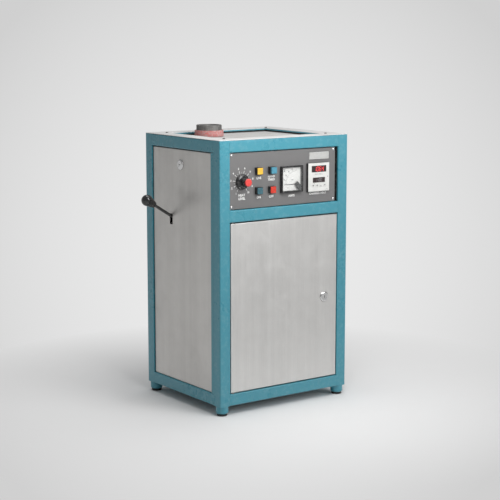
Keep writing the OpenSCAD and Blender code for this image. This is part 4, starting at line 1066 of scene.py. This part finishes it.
# black rubber, for the top gasket and for the painted shade in the cover and panel gaps
BLACK_RUBBER_AND_GAP_SHADE = Moulded("black_rubber_and_gap_shade", color=hue(16, 16, 17), rough=0.85, skin=500.0, depth=0.0001)
PALE_GREY = Moulded("pale_grey_plastic", color=hue(205, 205, 202), rough=0.45, dust=0.1)
PAPER = Ink("dial_white", color=hue(222, 222, 219), thin=0.05)
WINDOW = Moulded("display_filter", color=hue(34, 10, 10), rough=0.12, dust=0.1, clear=0.8)
CLEAR = ClearCover("clear_cover")
YELLOW = Lens("yellow_lens", color=hue(238, 190, 58), glow=0.12)
BLUE = Lens("blue_lens", color=hue(70, 146, 170), glow=0.0)
GREEN = Lens("green_lens", color=hue(52, 100, 112), glow=0.0)
RED = Lens("red_lens", color=hue(214, 48, 20), glow=0.0)
CAP_RED = Moulded("cap_red", color=hue(214, 64, 60), rough=0.34, clear=0.3, dust=0.06)
BOARD = Refractory("fibre_board", color=hue(189, 188, 187), fleck=hue(168, 166, 163))
COLLAR = Refractory(
    "collar_clay",
    color=hue(176, 144, 142),
    fleck=hue(188, 104, 100),
    scorch=hue(110, 98, 96),
    cover=0.50,
    grain=520.0,
    burnt=0.6,
    depth=0.0008,
)
FIBRE = Refractory("fibre_lining", color=hue(232, 229, 220), fleck=hue(214, 208, 196), grain=650.0)
CAST = Refractory("cast_refractory", color=hue(206, 194, 176), fleck=hue(160, 140, 118), grain=380.0)
CARBON = Graphite("turned_graphite")
WIRE = BurntWire("burnt_wire")
LAMINATE = Enamel("varnished_core", color=hue(72, 68, 66), under=hue(120, 112, 104), rough=0.4, wear=0.5)
TAPE = Moulded("winding_tape", color=hue(196, 160, 74), rough=0.4, skin=500.0, depth=0.0001)
RESIN = Moulded("moulded_resin", color=hue(122, 108, 74), rough=0.5)
WHITE_INK = Ink("white_ink")
BLACK_INK = Ink("black_ink", color=hue(38, 38, 40))
GREY_INK = Ink("grey_ink", color=hue(108, 108, 108))
LED_RED = Ink("lit_red", color=hue(216, 52, 56), glow=0.55, thin=0.2)
LED_DIM = Ink("lit_dim", color=hue(118, 116, 118), glow=0.08, thin=0.3)
FIELD_GREY = Ink("plate_field_grey", color=hue(176, 176, 174), thin=0.1)
PLATE_METAL = BrushedSteel(
    "plate_metal", color=hue(214, 214, 212), brush=Brush.ACROSS, rough=0.3, density=1500.0
)


@dataclass(frozen=True)
class Dressing:
    """How one CAD node is dressed: its finish, its broken edges and whether its flat faces are merged."""

    node: str
    finish: Finish
    soften: float = 0.3
    merge: bool = True


def listed(kind: type, *rows: tuple) -> list:
    """A dataclass field with one object for each row.

    Args:
        kind: the class of the objects.
        rows: the values of each, in the class's own order.

    Returns:
        The field.
    """
    return field(default_factory=lambda: [kind(*row) for row in rows])


@dataclass
class Assembly(ABC):
    """A sub-assembly: the nodes that it dresses, and what it adds to them."""

    dressings: list[Dressing] = field(default_factory=list)

    def build(self) -> None:
        """Dresses the nodes, then adds the rest."""
        for row in self.dressings:
            refined(row.node, row.finish, row.soften, row.merge)
            log.info("%s: %s", type(self).__name__, row.node)
        self.add()

    def add(self) -> None:
        """Adds what the solids leave out."""

    def fit(self, piece: bpy.types.Object, finish: Finish | None, body: Body | str, slot: str) -> None:
        """Finishes a new piece and puts it on its body.

        Args:
            piece: the piece.
            finish: its finish, or None where it has one.
            body: the body that it rides on.
            slot: the record's material slot; not used.
        """
        if finish:
            dress(piece, finish)
        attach(piece, body.value if isinstance(body, Body) else body)
        log.info("%s: %s", type(self).__name__, piece.name)


@dataclass
class Cabinet(Assembly):
    """The welded tube frame with its feet, covers and top."""

    bead: float = 1.5 * MM
    beads: int = 6
    # inset and depth of the black bands of painted shade in the cover gaps
    shade_inset: float = 1.0 * MM
    shade_depth: float = 6.0 * MM
    dressings: list[Dressing] = listed(
        Dressing,
        ("corner_posts", TEAL, 0.5),
        ("frame_rails", TEAL, 0.5),
        ("mid_rails", TEAL, 0.5),
        ("feet", TEAL, 0.6),
        ("foot_pads", RUBBER, 0.6),
        ("base_plate", ZINC, 0.2),
        ("hearth_shelf", ZINC, 0.2),
        ("top_trim", TRIM_STEEL, 0.3),
        ("board_frame", TEAL, 0.4),
        ("top_gasket", BLACK_RUBBER_AND_GAP_SHADE, 0.4),
        ("top_board", BOARD, 0.8),
        ("screws", CHROME, 0.1),
        ("left_panel", COVER_STEEL, 0.2),
        ("right_panel", COVER_STEEL, 0.2),
        ("rear_panels", ZINC, 0.0, False),
        ("panel_tabs", TEAL, 0.2),
        ("side_lock_body", CHROME, 0.3),
        ("side_lock_cam", CHROME, 0.2),
    )

    def add(self) -> None:
        """Darkens the trim's screws and adds the weld beads and the painted shade in the gaps round the side
        covers.
        """
        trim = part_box("top_trim")[0].z
        paint_faces(bpy.data.objects["screws_piece"], DARK_STEEL, lambda at, normal: at.z > trim)
        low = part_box("corner_posts")[0]
        rail_low, rail_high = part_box("mid_rails")
        door_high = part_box("door")[1]
        base_top = low.z + (rail_high.z - rail_low.z)
        front = door_high.y + 2 * self.bead
        back = low.y + (rail_high.z - rail_low.z) - self.bead
        kit = bead_run()
        runs = []
        corners = [(x, z) for z in (base_top, rail_low.z) for x in (rail_low.x, rail_high.x)]
        for seed, (x, z) in enumerate(corners):
            values = {
                "From": (x, front, z),
                "To": (x, back, z),
                "Count": self.beads,
                "Size": self.bead,
                "Seed": seed,
                "Finish": TEAL.build(),
            }
            runs.append(kit.run(f"bead_{seed}", values))
        self.fit(joined("weld_beads", runs), None, Body.CABINET, "frame_paint")
        self.shade_cover_gaps()

    def shade_cover_gaps(self) -> None:
        """Black bands of painted shade in the gaps round both side covers."""
        frame_low, frame_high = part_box("frame_rails")
        rail_low, rail_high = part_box("mid_rails")
        tube = rail_high.z - rail_low.z
        skin = 0.02 * MM
        shade_slabs = []
        for node, inward in (("left_panel", 1), ("right_panel", -1)):
            low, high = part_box(node)
            outer = low.x if inward > 0 else high.x
            near, far = self.shade_inset, self.shade_inset + self.shade_depth
            x0, x1 = sorted((outer + inward * near, outer + inward * far))
            gap = frame_high.y - tube - high.y
            y0, y1 = low.y - gap, high.y + gap
            z0, z1 = frame_low.z + tube, frame_high.z - tube
            shade_slabs += [
                slab(x0, x1, y0, y1, z1 - gap + skin, z1 - skin),
                slab(x0, x1, y0, y1, z0 + skin, z0 + gap - skin),
                slab(x0, x1, y0 + skin, y0 + gap - skin, z0 + gap, z1 - gap),
                slab(x0, x1, y1 - gap + skin, y1 - skin, z0 + gap, z1 - gap),
            ]
        # the black rubber finish serves here as painted shade in the gaps
        self.fit(joined("cover_gap_shade", shade_slabs), BLACK_RUBBER_AND_GAP_SHADE, Body.CABINET, "gasket")


@dataclass
class Door(Assembly):
    """The front door with its pins and lock."""

    dressings: list[Dressing] = listed(
        Dressing,
        ("door", DOOR_STEEL, 0.2),
        ("door_pins", STEEL, 0.2),
        ("door_lock_body", CHROME, 0.3),
        ("door_lock_cam", CHROME, 0.2),
    )


@dataclass
class Furnace(Assembly):
    """The crucible, its collar, the heater round it and the lift under it."""

    dressings: list[Dressing] = listed(
        Dressing,
        ("crucible", CARBON, 0.8),
        ("collar_ring", COLLAR, 0.8),
        ("furnace_shell", ZINC, 0.2),
        ("insulation", FIBRE, 0.5),
        ("heater_tube", CAST, 0.4),
        ("heating_coil", WIRE, 0.0),
        ("thermocouple", STEEL, 0.2),
        ("pedestal", CAST, 0.5),
        ("lift_rod", STEEL, 0.2),
        ("guide_bush", BRASS, 0.2),
    )


@dataclass
class Lever(Assembly):
    """The hand lever, its shaft and the arm that pushes the lift rod up."""

    dressings: list[Dressing] = listed(
        Dressing,
        ("lever_rod", DARK_STEEL, 0.2),
        ("lever_knob", GLOSS_BLACK, 0.5),
        ("rocker_shaft", STEEL, 0.4),
        ("lift_arm", STEEL, 0.4),
        ("shaft_bearings", TEAL, 0.4),
    )


@dataclass
class Electrics(Assembly):
    """The transformer, the contactor, the cable gland and the level control."""

    dressings: list[Dressing] = listed(
        Dressing,
        ("transformer", LAMINATE, 0.4),
        ("contactor", MATTE_BLACK, 0.4),
        ("cable_gland", MATTE_BLACK, 0.3),
        ("potentiometer", RESIN, 0.3),
    )
    core_depth: float = 75.0 * MM
    core_skin: float = 0.6 * MM
    foot: float = 6.0 * MM

    def add(self) -> None:
        """Gives the transformer's winding its tape."""
        low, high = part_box("transformer")
        middle = (low.y + high.y) / 2
        bottom = low.z + self.foot

        def wound(at: Vector, normal: Vector) -> bool:
            """Says whether a face belongs to the winding."""
            return abs(at.y - middle) > self.core_depth / 2 + self.core_skin and at.z > bottom

        paint_faces(bpy.data.objects["transformer_piece"], TAPE, wound)


@dataclass
class SegmentDigits:
    """Lit numbers made of seven slanting bars each."""

    digits: str
    x: float
    z: float
    y: float
    height: float
    slant: float = 0.12
    proud: float = 0.12 * MM

    LIT = {"0": "abcdef", "1": "bc", "4": "fgbc", "6": "afgedc"}

    def build(self, name: str) -> bpy.types.Object:
        """Makes the digits.

        Args:
            name: the piece's name.

        Returns:
            The mesh object.
        """
        h = self.height / 2
        w = h * 0.92
        t = self.height * 0.075
        pitch = w * 1.55
        ends = {
            "a": (0, 2 * h, w, 2 * h), "b": (w, h, w, 2 * h), "c": (w, 0, w, h), "d": (0, 0, w, 0),
            "e": (0, 0, 0, h), "f": (0, h, 0, 2 * h), "g": (0, h, w, h),
        }
        work = bmesh.new()
        start = self.x - (pitch * (len(self.digits) - 1) + w) / 2
        for place, digit in enumerate(self.digits):
            for bar in self.LIT[digit]:
                self.bar(work, start + place * pitch, ends[bar], t)
        bmesh.ops.recalc_face_normals(work, faces=work.faces)
        mesh = bpy.data.meshes.new(name)
        work.to_mesh(mesh)
        work.free()
        return link(mesh, name)

    def bar(self, work: bmesh.types.BMesh, left: float, ends: tuple, t: float) -> None:
        """One bar with pointed ends.

        Args:
            work: the mesh that takes it.
            left: x of the digit's left side.
            ends: x and z of both ends, from the digit's lower left corner.
            t: half of the bar's width.
        """
        x0, z0, x1, z1 = ends
        along = Vector((x1 - x0, z1 - z0)).normalized()
        side = Vector((-along.y, along.x)) * t
        gap = along * t * 0.35
        a, b = Vector((x0, z0)) + gap, Vector((x1, z1)) - gap
        ring = [a, a + along * t - side, b - along * t - side, b, b - along * t + side, a + along * t + side]
        half = self.height / 2
        places = [(left + p.x + (p.y - half) * self.slant, self.z - half + p.y) for p in ring]
        layers = [[work.verts.new((x, y, z)) for x, z in places] for y in (self.y - self.proud, self.y)]
        work.faces.new(layers[0])
        work.faces.new(layers[1][::-1])
        for k in range(len(ring)):
            m = (k + 1) % len(ring)
            work.faces.new([layers[0][k], layers[1][k], layers[1][m], layers[0][m]])


@dataclass
class Label:
    """Generic words on the panel, by the place of their middle on its face."""

    words: str
    x: float
    z: float
    height: float = 5.0
    bold: float = 0.055


DIAL_START = math.radians(238.5)  # the knob's first mark
DIAL_STEP = math.radians(32.7)  # from one number to the next
NUMBER_RADIUS = 35.5 * MM  # the numbers round the knob
SKIRT_EDGE = 3.2 * MM  # width of the knob's flat skirt
BEZEL = 1.2 * MM  # depth of the controller's pale front
METER_RADIUS = 37.0 * MM  # from the needle's pivot to its scale
METER_SWEEP = math.radians(88.0)  # the needle's full swing


def ring_of(
    kit: MarkTree, name: str, count: int, radius: float, step: float, wide: float, tall: float, common: dict
) -> bpy.types.Object:
    """One arc of marks.

    Args:
        kit: the marks' node group.
        name: its name.
        count: number of marks.
        radius: metres from the middle.
        step: radians from one mark to the next.
        wide: width of a mark in millimetres.
        tall: length of a mark in millimetres.
        common: the inputs that its neighbours share.

    Returns:
        The mesh object.
    """
    own = {"Count": count, "Radius": radius, "Step": step, "Width": wide * MM, "Length": tall * MM}
    return kit.run(name, {**own, **common})


@dataclass
class Instruments(Assembly):
    """The control panel with its knob, lamps, buttons, meter and controller."""

    left: float = -212.5
    base: float = 26.0
    plate: tuple[float, float, float, float] = (294.5, 361.5, 641.0, 660.0)
    plate_t: float = 0.9
    big_window: float = 17.4 * MM
    small_window: float = 13.6 * MM
    dressings: list[Dressing] = listed(
        Dressing,
        ("control_panel", PANEL_GREY, 0.3),
        ("meter_case", GLOSS_BLACK, 0.4),
        ("meter_dial", PAPER, 0.1),
        ("meter_cover", CLEAR, 0.2),
        ("meter_needle", BLACK_INK, 0.0),
        ("controller_case", PALE_GREY, 0.5),
        ("controller_window", WINDOW, 0.2),
        ("key_menu", PALE_GREY, 0.3),
        ("key_shift", PALE_GREY, 0.3),
        ("key_down", PALE_GREY, 0.3),
        ("key_up", PALE_GREY, 0.3),
        ("switch_bodies", MATTE_BLACK, 0.3),
        ("live_lamp", YELLOW, 0.4),
        ("mode_button", BLUE, 0.4),
        ("start_button", GREEN, 0.4),
        ("stop_button", RED, 0.4),
        ("power_knob", GLOSS_BLACK, 0.3),
        ("knob_cap", CAP_RED, 0.3),
        ("knob_spindle", STEEL, 0.2),
    )
    labels: list[Label] = listed(
        Label,
        ("HEAT", 72.4, 559.4, 6.0),
        ("LEVEL", 72.4, 550.4, 6.0),
        ("LIVE", 127.5, 601.2, 5.8),
        ("HAND", 168.3, 603.0, 5.4),
        ("TIMED", 168.3, 595.0, 5.4),
        ("ON", 127.0, 550.4, 6.0),
        ("OFF", 168.3, 550.0, 6.0),
        ("AMPS", 235.5, 547.6, 6.0),
        ("CHAMBER HEAT", 325.0, 548.2, 5.6),
    )

    def at(self, x: float, z: float) -> tuple[float, float]:
        """A place on the front.

        Args:
            x: millimetres from the frame's left side.
            z: millimetres above the frame's underside.

        Returns:
            The same place in metres in the shared frame.
        """
        return (self.left + x) * MM, (self.base + z) * MM

    def words(self, label: Label, face: float) -> bpy.types.Object:
        """One label as a mesh.

        Args:
            label: the label.
            face: the y place of the face that it is printed on.

        Returns:
            The mesh object.
        """
        x, z = self.at(label.x, label.z)
        return front_text(label.words, x, z, face, label.height * MM, label.bold)

    def add(self) -> None:
        """Adds print, marks, plate and symbols."""
        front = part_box("controller_case")[0].y
        edge = front + BEZEL
        paint_faces(bpy.data.objects["controller_case_piece"], MATTE_BLACK, lambda at, normal: at.y > edge)
        self.shade_panel_gap()
        self.print_panel()
        self.print_dial()
        self.print_meter()
        self.print_controller()
        self.print_keys()
        self.fix_plate()
        self.mark_knob()

    def shade_panel_gap(self) -> None:
        """A dark band of painted shade in the gap at the panel's right."""
        low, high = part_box("control_panel")
        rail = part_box("mid_rails")
        inner = rail[1].x
        gap_shade_slab = slab(
            inner - 0.8 * MM, inner - 0.02 * MM, low.y + 1.2 * MM, rail[0].y + 30 * MM,
            low.z - 1.5 * MM, high.z + 1.5 * MM, 0.0, "panel_gap_shade",
        )
        self.fit(gap_shade_slab, BLACK_RUBBER_AND_GAP_SHADE, Body.CABINET, "gasket")
    # black finish as painted shade in the gap

    def print_panel(self) -> None:
        """The words on the panel plate."""
        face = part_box("control_panel")[0].y
        piece = joined("panel_words", [self.words(label, face) for label in self.labels])
        self.fit(piece, WHITE_INK, Body.CABINET, "dial_white")

    def print_dial(self) -> None:
        """The numbers and the marks round the level knob."""
        low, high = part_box("knob_spindle")
        cx, cz = (low.x + high.x) / 2, (low.z + high.z) / 2
        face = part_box("control_panel")[0].y
        skirt = (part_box("power_knob")[1].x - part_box("power_knob")[0].x) / 2
        kit = arc_marks()
        common = {"Start": DIAL_START, "Depth": 0.12 * MM, "Finish": WHITE_INK.build()}
        rows = [
            ring_of(kit, "long", 10, skirt + 5.2 * MM, DIAL_STEP, 1.1, 8.0, common),
            ring_of(kit, "short", 19, skirt + 3.4 * MM, DIAL_STEP / 2, 0.45, 3.6, common),
        ]
        for piece in rows:
            piece.data.transform(Matrix.Translation((cx, face, cz)))
        for n in range(10):
            angle = DIAL_START - n * DIAL_STEP
            x, z = cx + NUMBER_RADIUS * math.cos(angle), cz + NUMBER_RADIUS * math.sin(angle)
            rows.append(front_text(str(n + 1), x, z, face, 4.8 * MM, 0.045))
        self.fit(joined("dial_marks", rows), WHITE_INK, Body.CABINET, "dial_white")

    def print_meter(self) -> None:
        """The scale of the meter, round its needle's pivot."""
        pivot = next(j for j in frame["joints"] if j["name"] == "needle_swing")["pos_m"]
        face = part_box("meter_dial")[0].y
        kit = arc_marks()
        radius = METER_RADIUS
        step = METER_SWEEP / 5
        common = {"Start": math.pi, "Depth": 0.1 * MM, "Finish": BLACK_INK.build()}
        rows = [
            ring_of(kit, "fives", 6, radius, step, 0.6, 4.0, common),
            ring_of(kit, "ones", 26, radius, step / 5, 0.3, 2.2, common),
            ring_of(kit, "arc", 90, radius - 2 * MM, step / 17.8, 0.75, 0.3, common),
        ]
        for piece in rows:
            piece.data.transform(Matrix.Translation((pivot[0], face, pivot[2])))
        for n in range(1, 5):
            angle = math.pi - n * step
            x = pivot[0] + (radius + 6.0 * MM) * math.cos(angle)
            z = pivot[2] + (radius + 6.0 * MM) * math.sin(angle)
            rows.append(front_text(str(n * 10), x, z, face, 3.6 * MM, 0.02))
        low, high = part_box("meter_dial")
        rows.append(front_text("A", low.x + 8 * MM, high.z - 9 * MM, face, 6.2 * MM, 0.03))
        rows.append(front_text("AMPS", low.x + 34 * MM, pivot[2] + 12 * MM, face, 2.6 * MM, 0.01))
        rows.append(front_text("0 - 50", low.x + 20 * MM, low.z + 7 * MM, face, 2.2 * MM))
        self.fit(joined("meter_scale", rows), BLACK_INK, Body.CABINET, "black_matte")

    def print_controller(self) -> None:
        """The digits and the small print on the controller's front."""
        low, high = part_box("controller_case")
        window_low, window_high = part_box("controller_window")
        x = (window_low.x + window_high.x) / 2
        now = SegmentDigits("1064", x, window_high.z - self.big_window / 2, window_low.y, 12.0 * MM)
        self.fit(now.build("display_digits"), LED_RED, Body.CABINET, "display")
        wanted = SegmentDigits("1100", x, window_low.z + self.small_window / 2, window_low.y, 7.6 * MM)
        self.fit(wanted.build("display_set"), LED_DIM, Body.CABINET, "display")
        rows = [
            front_text("NOW  DEG C", x, window_high.z - 23.0 * MM, low.y, 3.0 * MM, 0.02),
            front_text("SET", x - 15 * MM, window_low.z - 2.6 * MM, low.y, 2.0 * MM, 0.01),
            front_text("OUT", high.x - 9 * MM, low.z + 4.6 * MM, low.y, 2.0 * MM, 0.01),
        ]
        self.fit(joined("controller_print", rows), GREY_INK, Body.CABINET, "black_matte")
        lamp = slab(
            high.x - 7 * MM, high.x - 4.8 * MM, low.y - 0.2 * MM, low.y + 0.2 * MM,
            window_low.z + 14 * MM, window_low.z + 16.2 * MM, 1.05 * MM, "output_lamp",
        )
        self.fit(lamp, BLACK_INK, Body.CABINET, "display")

    def print_keys(self) -> None:
        """A plain symbol on each key."""
        symbols = {"key_menu": "=", "key_shift": "<", "key_down": "-", "key_up": "+"}
        for node, symbol in symbols.items():
            low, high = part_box(node)
            x, z = (low.x + high.x) / 2, (low.z + high.z) / 2
            piece = front_text(symbol, x, z, low.y, 5.0 * MM, 0.07, 1.1)
            piece.name = node + "_symbol"
            self.fit(piece, BLACK_INK, node, "black_matte")

    def fix_plate(self) -> None:
        """The blank name plate with its inner field."""
        x0, x1, z0, z1 = self.plate
        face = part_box("control_panel")[0].y
        left, low = self.at(x0, z0)
        right, high = self.at(x1, z1)
        plate = slab(left, right, face - self.plate_t * MM, face, low, high, 1.6 * MM, "name_plate")
        self.fit(plate, PLATE_METAL, Body.CABINET, "trim_steel")
        rim = 1.1 * MM
        inner = slab(
            left + rim, right - rim, face - (self.plate_t + 0.12) * MM, face - self.plate_t * MM,
            low + rim, high - rim, 1.0 * MM, "plate_field",
        )
        self.fit(inner, FIELD_GREY, Body.CABINET, "trim_steel")

    def mark_knob(self) -> None:
        """The white pointer line on the knob's skirt."""
        low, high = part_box("power_knob")
        cap_low, cap_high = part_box("knob_cap")
        cx, cz = (cap_low.x + cap_high.x) / 2, (cap_low.z + cap_high.z) / 2
        kit = arc_marks()
        line = kit.run(
            "knob_pointer",
            {
                "Count": 1,
                "Radius": (high.x - low.x) / 2 - SKIRT_EDGE,
                "Start": DIAL_START,
                "Width": 1.1 * MM,
                "Length": 5.0 * MM,
                "Depth": 0.3 * MM,
                "Finish": WHITE_INK.build(),
            },
        )
        line.data.transform(Matrix.Translation((cx, self.skirt_face(), cz)))
        self.fit(line, WHITE_INK, Body.KNOB, "dial_white")

    def skirt_face(self) -> float:
        """The y place of the front of the knob's skirt."""
        mesh = frame["nodes"]["power_knob"].data
        low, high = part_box("power_knob")
        reach = (high.x - low.x) / 2 - SKIRT_EDGE
        mid = Vector(((low.x + high.x) / 2, (low.z + high.z) / 2))
        return min(v.co.y for v in mesh.vertices if (Vector((v.co.x, v.co.z)) - mid).length > reach)


# Studio


@dataclass
class Lamp:
    """One soft area light."""

    name: str
    at: tuple[float, float, float]
    aim: tuple[float, float, float]
    size: float
    watts: float


@dataclass
class Studio:
    """A pale floor and background, soft lights and the camera."""

    # bright centre of the painted pool of light on the background
    pool_centre_grey: tuple = hue(234, 234, 234)
    shaded: tuple = hue(208, 208, 208)
    ambient: float = 0.33
    eye: tuple[float, float, float] = (-2.2045, -3.0825, 1.007)
    azimuth: float = -35.74
    elevation: float = 9.02
    lens: float = 99.06
    lamps: list[Lamp] = listed(
        Lamp,
        ("key", (1.6, -3.4, 1.9), (0.0, 0.0, 0.40), 2.2, 51.0),
        ("crown", (-0.12, -0.66, 1.12), (0.0, -0.18, 0.70), 0.55, 6.0),
        ("sky", (0.2, 0.3, 2.6), (0.0, 0.0, 0.7), 1.5, 15.5),
    )

    def build(self) -> None:
        """Makes the floor, the world, the lamps and the camera."""
        self.floor()
        self.world()
        for lamp in self.lamps:
            self.light(lamp)
        self.camera()
        view = bpy.context.scene.view_settings
        view.view_transform = "Standard"

    def floor(self) -> None:
        """A wide floor that fades into the background and its painted pool of light."""
        work = bmesh.new()
        bmesh.ops.create_grid(work, x_segments=8, y_segments=8, size=20.0)
        mesh = bpy.data.meshes.new("studio_floor")
        work.to_mesh(mesh)
        work.free()
        floor = link(mesh, "studio_floor")
        made = bpy.data.materials.new("floor_paper")
        made.use_nodes = True
        s = Sheet(made.node_tree)
        shader = made.node_tree.nodes["Principled BSDF"]
        out = made.node_tree.nodes["Material Output"]
        at = s.place()
        tone = Groups.use(s, "patchy", at, hue(238, 238, 238), 1.5, 0.02)
        s.feed(tone.outputs["Color"], shader.inputs["Base Color"])
        shader.inputs["Roughness"].default_value = 0.9
        reach = s.add("ShaderNodeVectorMath", {0: at}, operation="LENGTH").outputs["Value"]
        far = s.ramp(reach, 0.35, 0.95)
        line = s.add("ShaderNodeVectorMath", {0: at, 1: self.eye}, operation="SUBTRACT").outputs[0]
        path = s.add("ShaderNodeLightPath")
        seen = s.math("MAXIMUM", path.outputs["Is Camera Ray"], path.outputs["Is Glossy Ray"])
        # the floor's far part glows with the painted pool of light
        glow = s.add("ShaderNodeEmission", {"Color": self.painted_light_pool(s, line), "Strength": 1.0})
        blend = s.add("ShaderNodeMixShader", {0: s.times(far, seen)})
        s.feed(shader.outputs[0], blend.inputs[1])
        s.feed(glow.outputs[0], blend.inputs[2])
        s.feed(blend.outputs[0], out.inputs["Surface"])
        mesh.materials.append(made)

    def toward(self) -> Vector:
        """The direction from the object to the eye's standpoint."""
        a, e = math.radians(self.azimuth), math.radians(self.elevation)
        return Vector((math.sin(a) * math.cos(e), -math.cos(a) * math.cos(e), math.sin(e)))

    def painted_light_pool(self, s: Sheet, line: bpy.types.NodeSocket) -> bpy.types.NodeSocket:
        """The background grey with a painted pool of light, brightest along one fixed direction and darker
        away from it.

        Args:
            s: the sheet that takes the nodes.
            line: a direction in the shared frame.

        Returns:
            The colour socket.
        """
        unit = s.add("ShaderNodeVectorMath", {0: line}, operation="NORMALIZE").outputs[0]
        near = s.add("ShaderNodeVectorMath", {0: unit, 1: tuple(-self.toward())}, operation="DOT_PRODUCT")
        share = s.ramp(near.outputs["Value"], math.cos(math.radians(13.5)), math.cos(math.radians(3.0)))
        return s.mix(share, self.shaded, self.pool_centre_grey)

    def world(self) -> None:
        """An even grey light, and the pale background with its painted pool of light that the camera sees.
        """
        world = bpy.data.worlds.new("studio")
        bpy.context.scene.world = world
        world.use_nodes = True
        s = Sheet(world.node_tree)
        for node in list(world.node_tree.nodes):
            world.node_tree.nodes.remove(node)
        path = s.add("ShaderNodeLightPath")
        seen = s.math("MAXIMUM", path.outputs["Is Camera Ray"], path.outputs["Is Transmission Ray"])
        light = s.add("ShaderNodeBackground", {"Color": (1, 1, 1, 1), "Strength": self.ambient})
        line = s.add("ShaderNodeTexCoord").outputs["Generated"]
        # the background carries the painted pool of light
        back = s.add("ShaderNodeBackground", {"Color": self.painted_light_pool(s, line), "Strength": 1.0})
        both = s.add("ShaderNodeMixShader", {0: seen, 1: light.outputs[0], 2: back.outputs[0]})
        out = s.add("ShaderNodeOutputWorld", {"Surface": both.outputs[0]})
        log.info("world ends in %s", out.name)

    def light(self, lamp: Lamp) -> None:
        """One area light.

        Args:
            lamp: its place, aim, size and power.
        """
        data = bpy.data.lights.new(lamp.name, "AREA")
        data.shape = "SQUARE"
        data.size = lamp.size
        data.energy = lamp.watts
        obj = bpy.data.objects.new(lamp.name, data)
        bpy.context.scene.collection.objects.link(obj)
        at = Vector(lamp.at)
        obj.location = at
        obj.rotation_euler = (Vector(lamp.aim) - at).to_track_quat("-Z", "Y").to_euler()

    def camera(self) -> None:
        """The camera at the photograph's angle, with its depth of field off."""
        data = bpy.data.cameras.new("camera")
        data.lens = self.lens
        data.sensor_width = 36.0
        data.dof.use_dof = False
        data.clip_start, data.clip_end = 0.05, 200.0
        obj = bpy.data.objects.new("camera", data)
        bpy.context.scene.collection.objects.link(obj)
        obj.location = self.eye
        obj.rotation_mode = "QUATERNION"
        obj.rotation_quaternion = (-self.toward()).to_track_quat("-Z", "Y")
        bpy.context.scene.camera = obj


def main() -> None:
    """Builds the sub-assemblies in order, then the studio."""
    logging.basicConfig(level=logging.INFO, format="%(name)s: %(message)s")
    for part in (Cabinet(), Door(), Furnace(), Lever(), Electrics(), Instruments()):
        part.build()
    Studio().build()


if __name__ == "__main__":
    main()
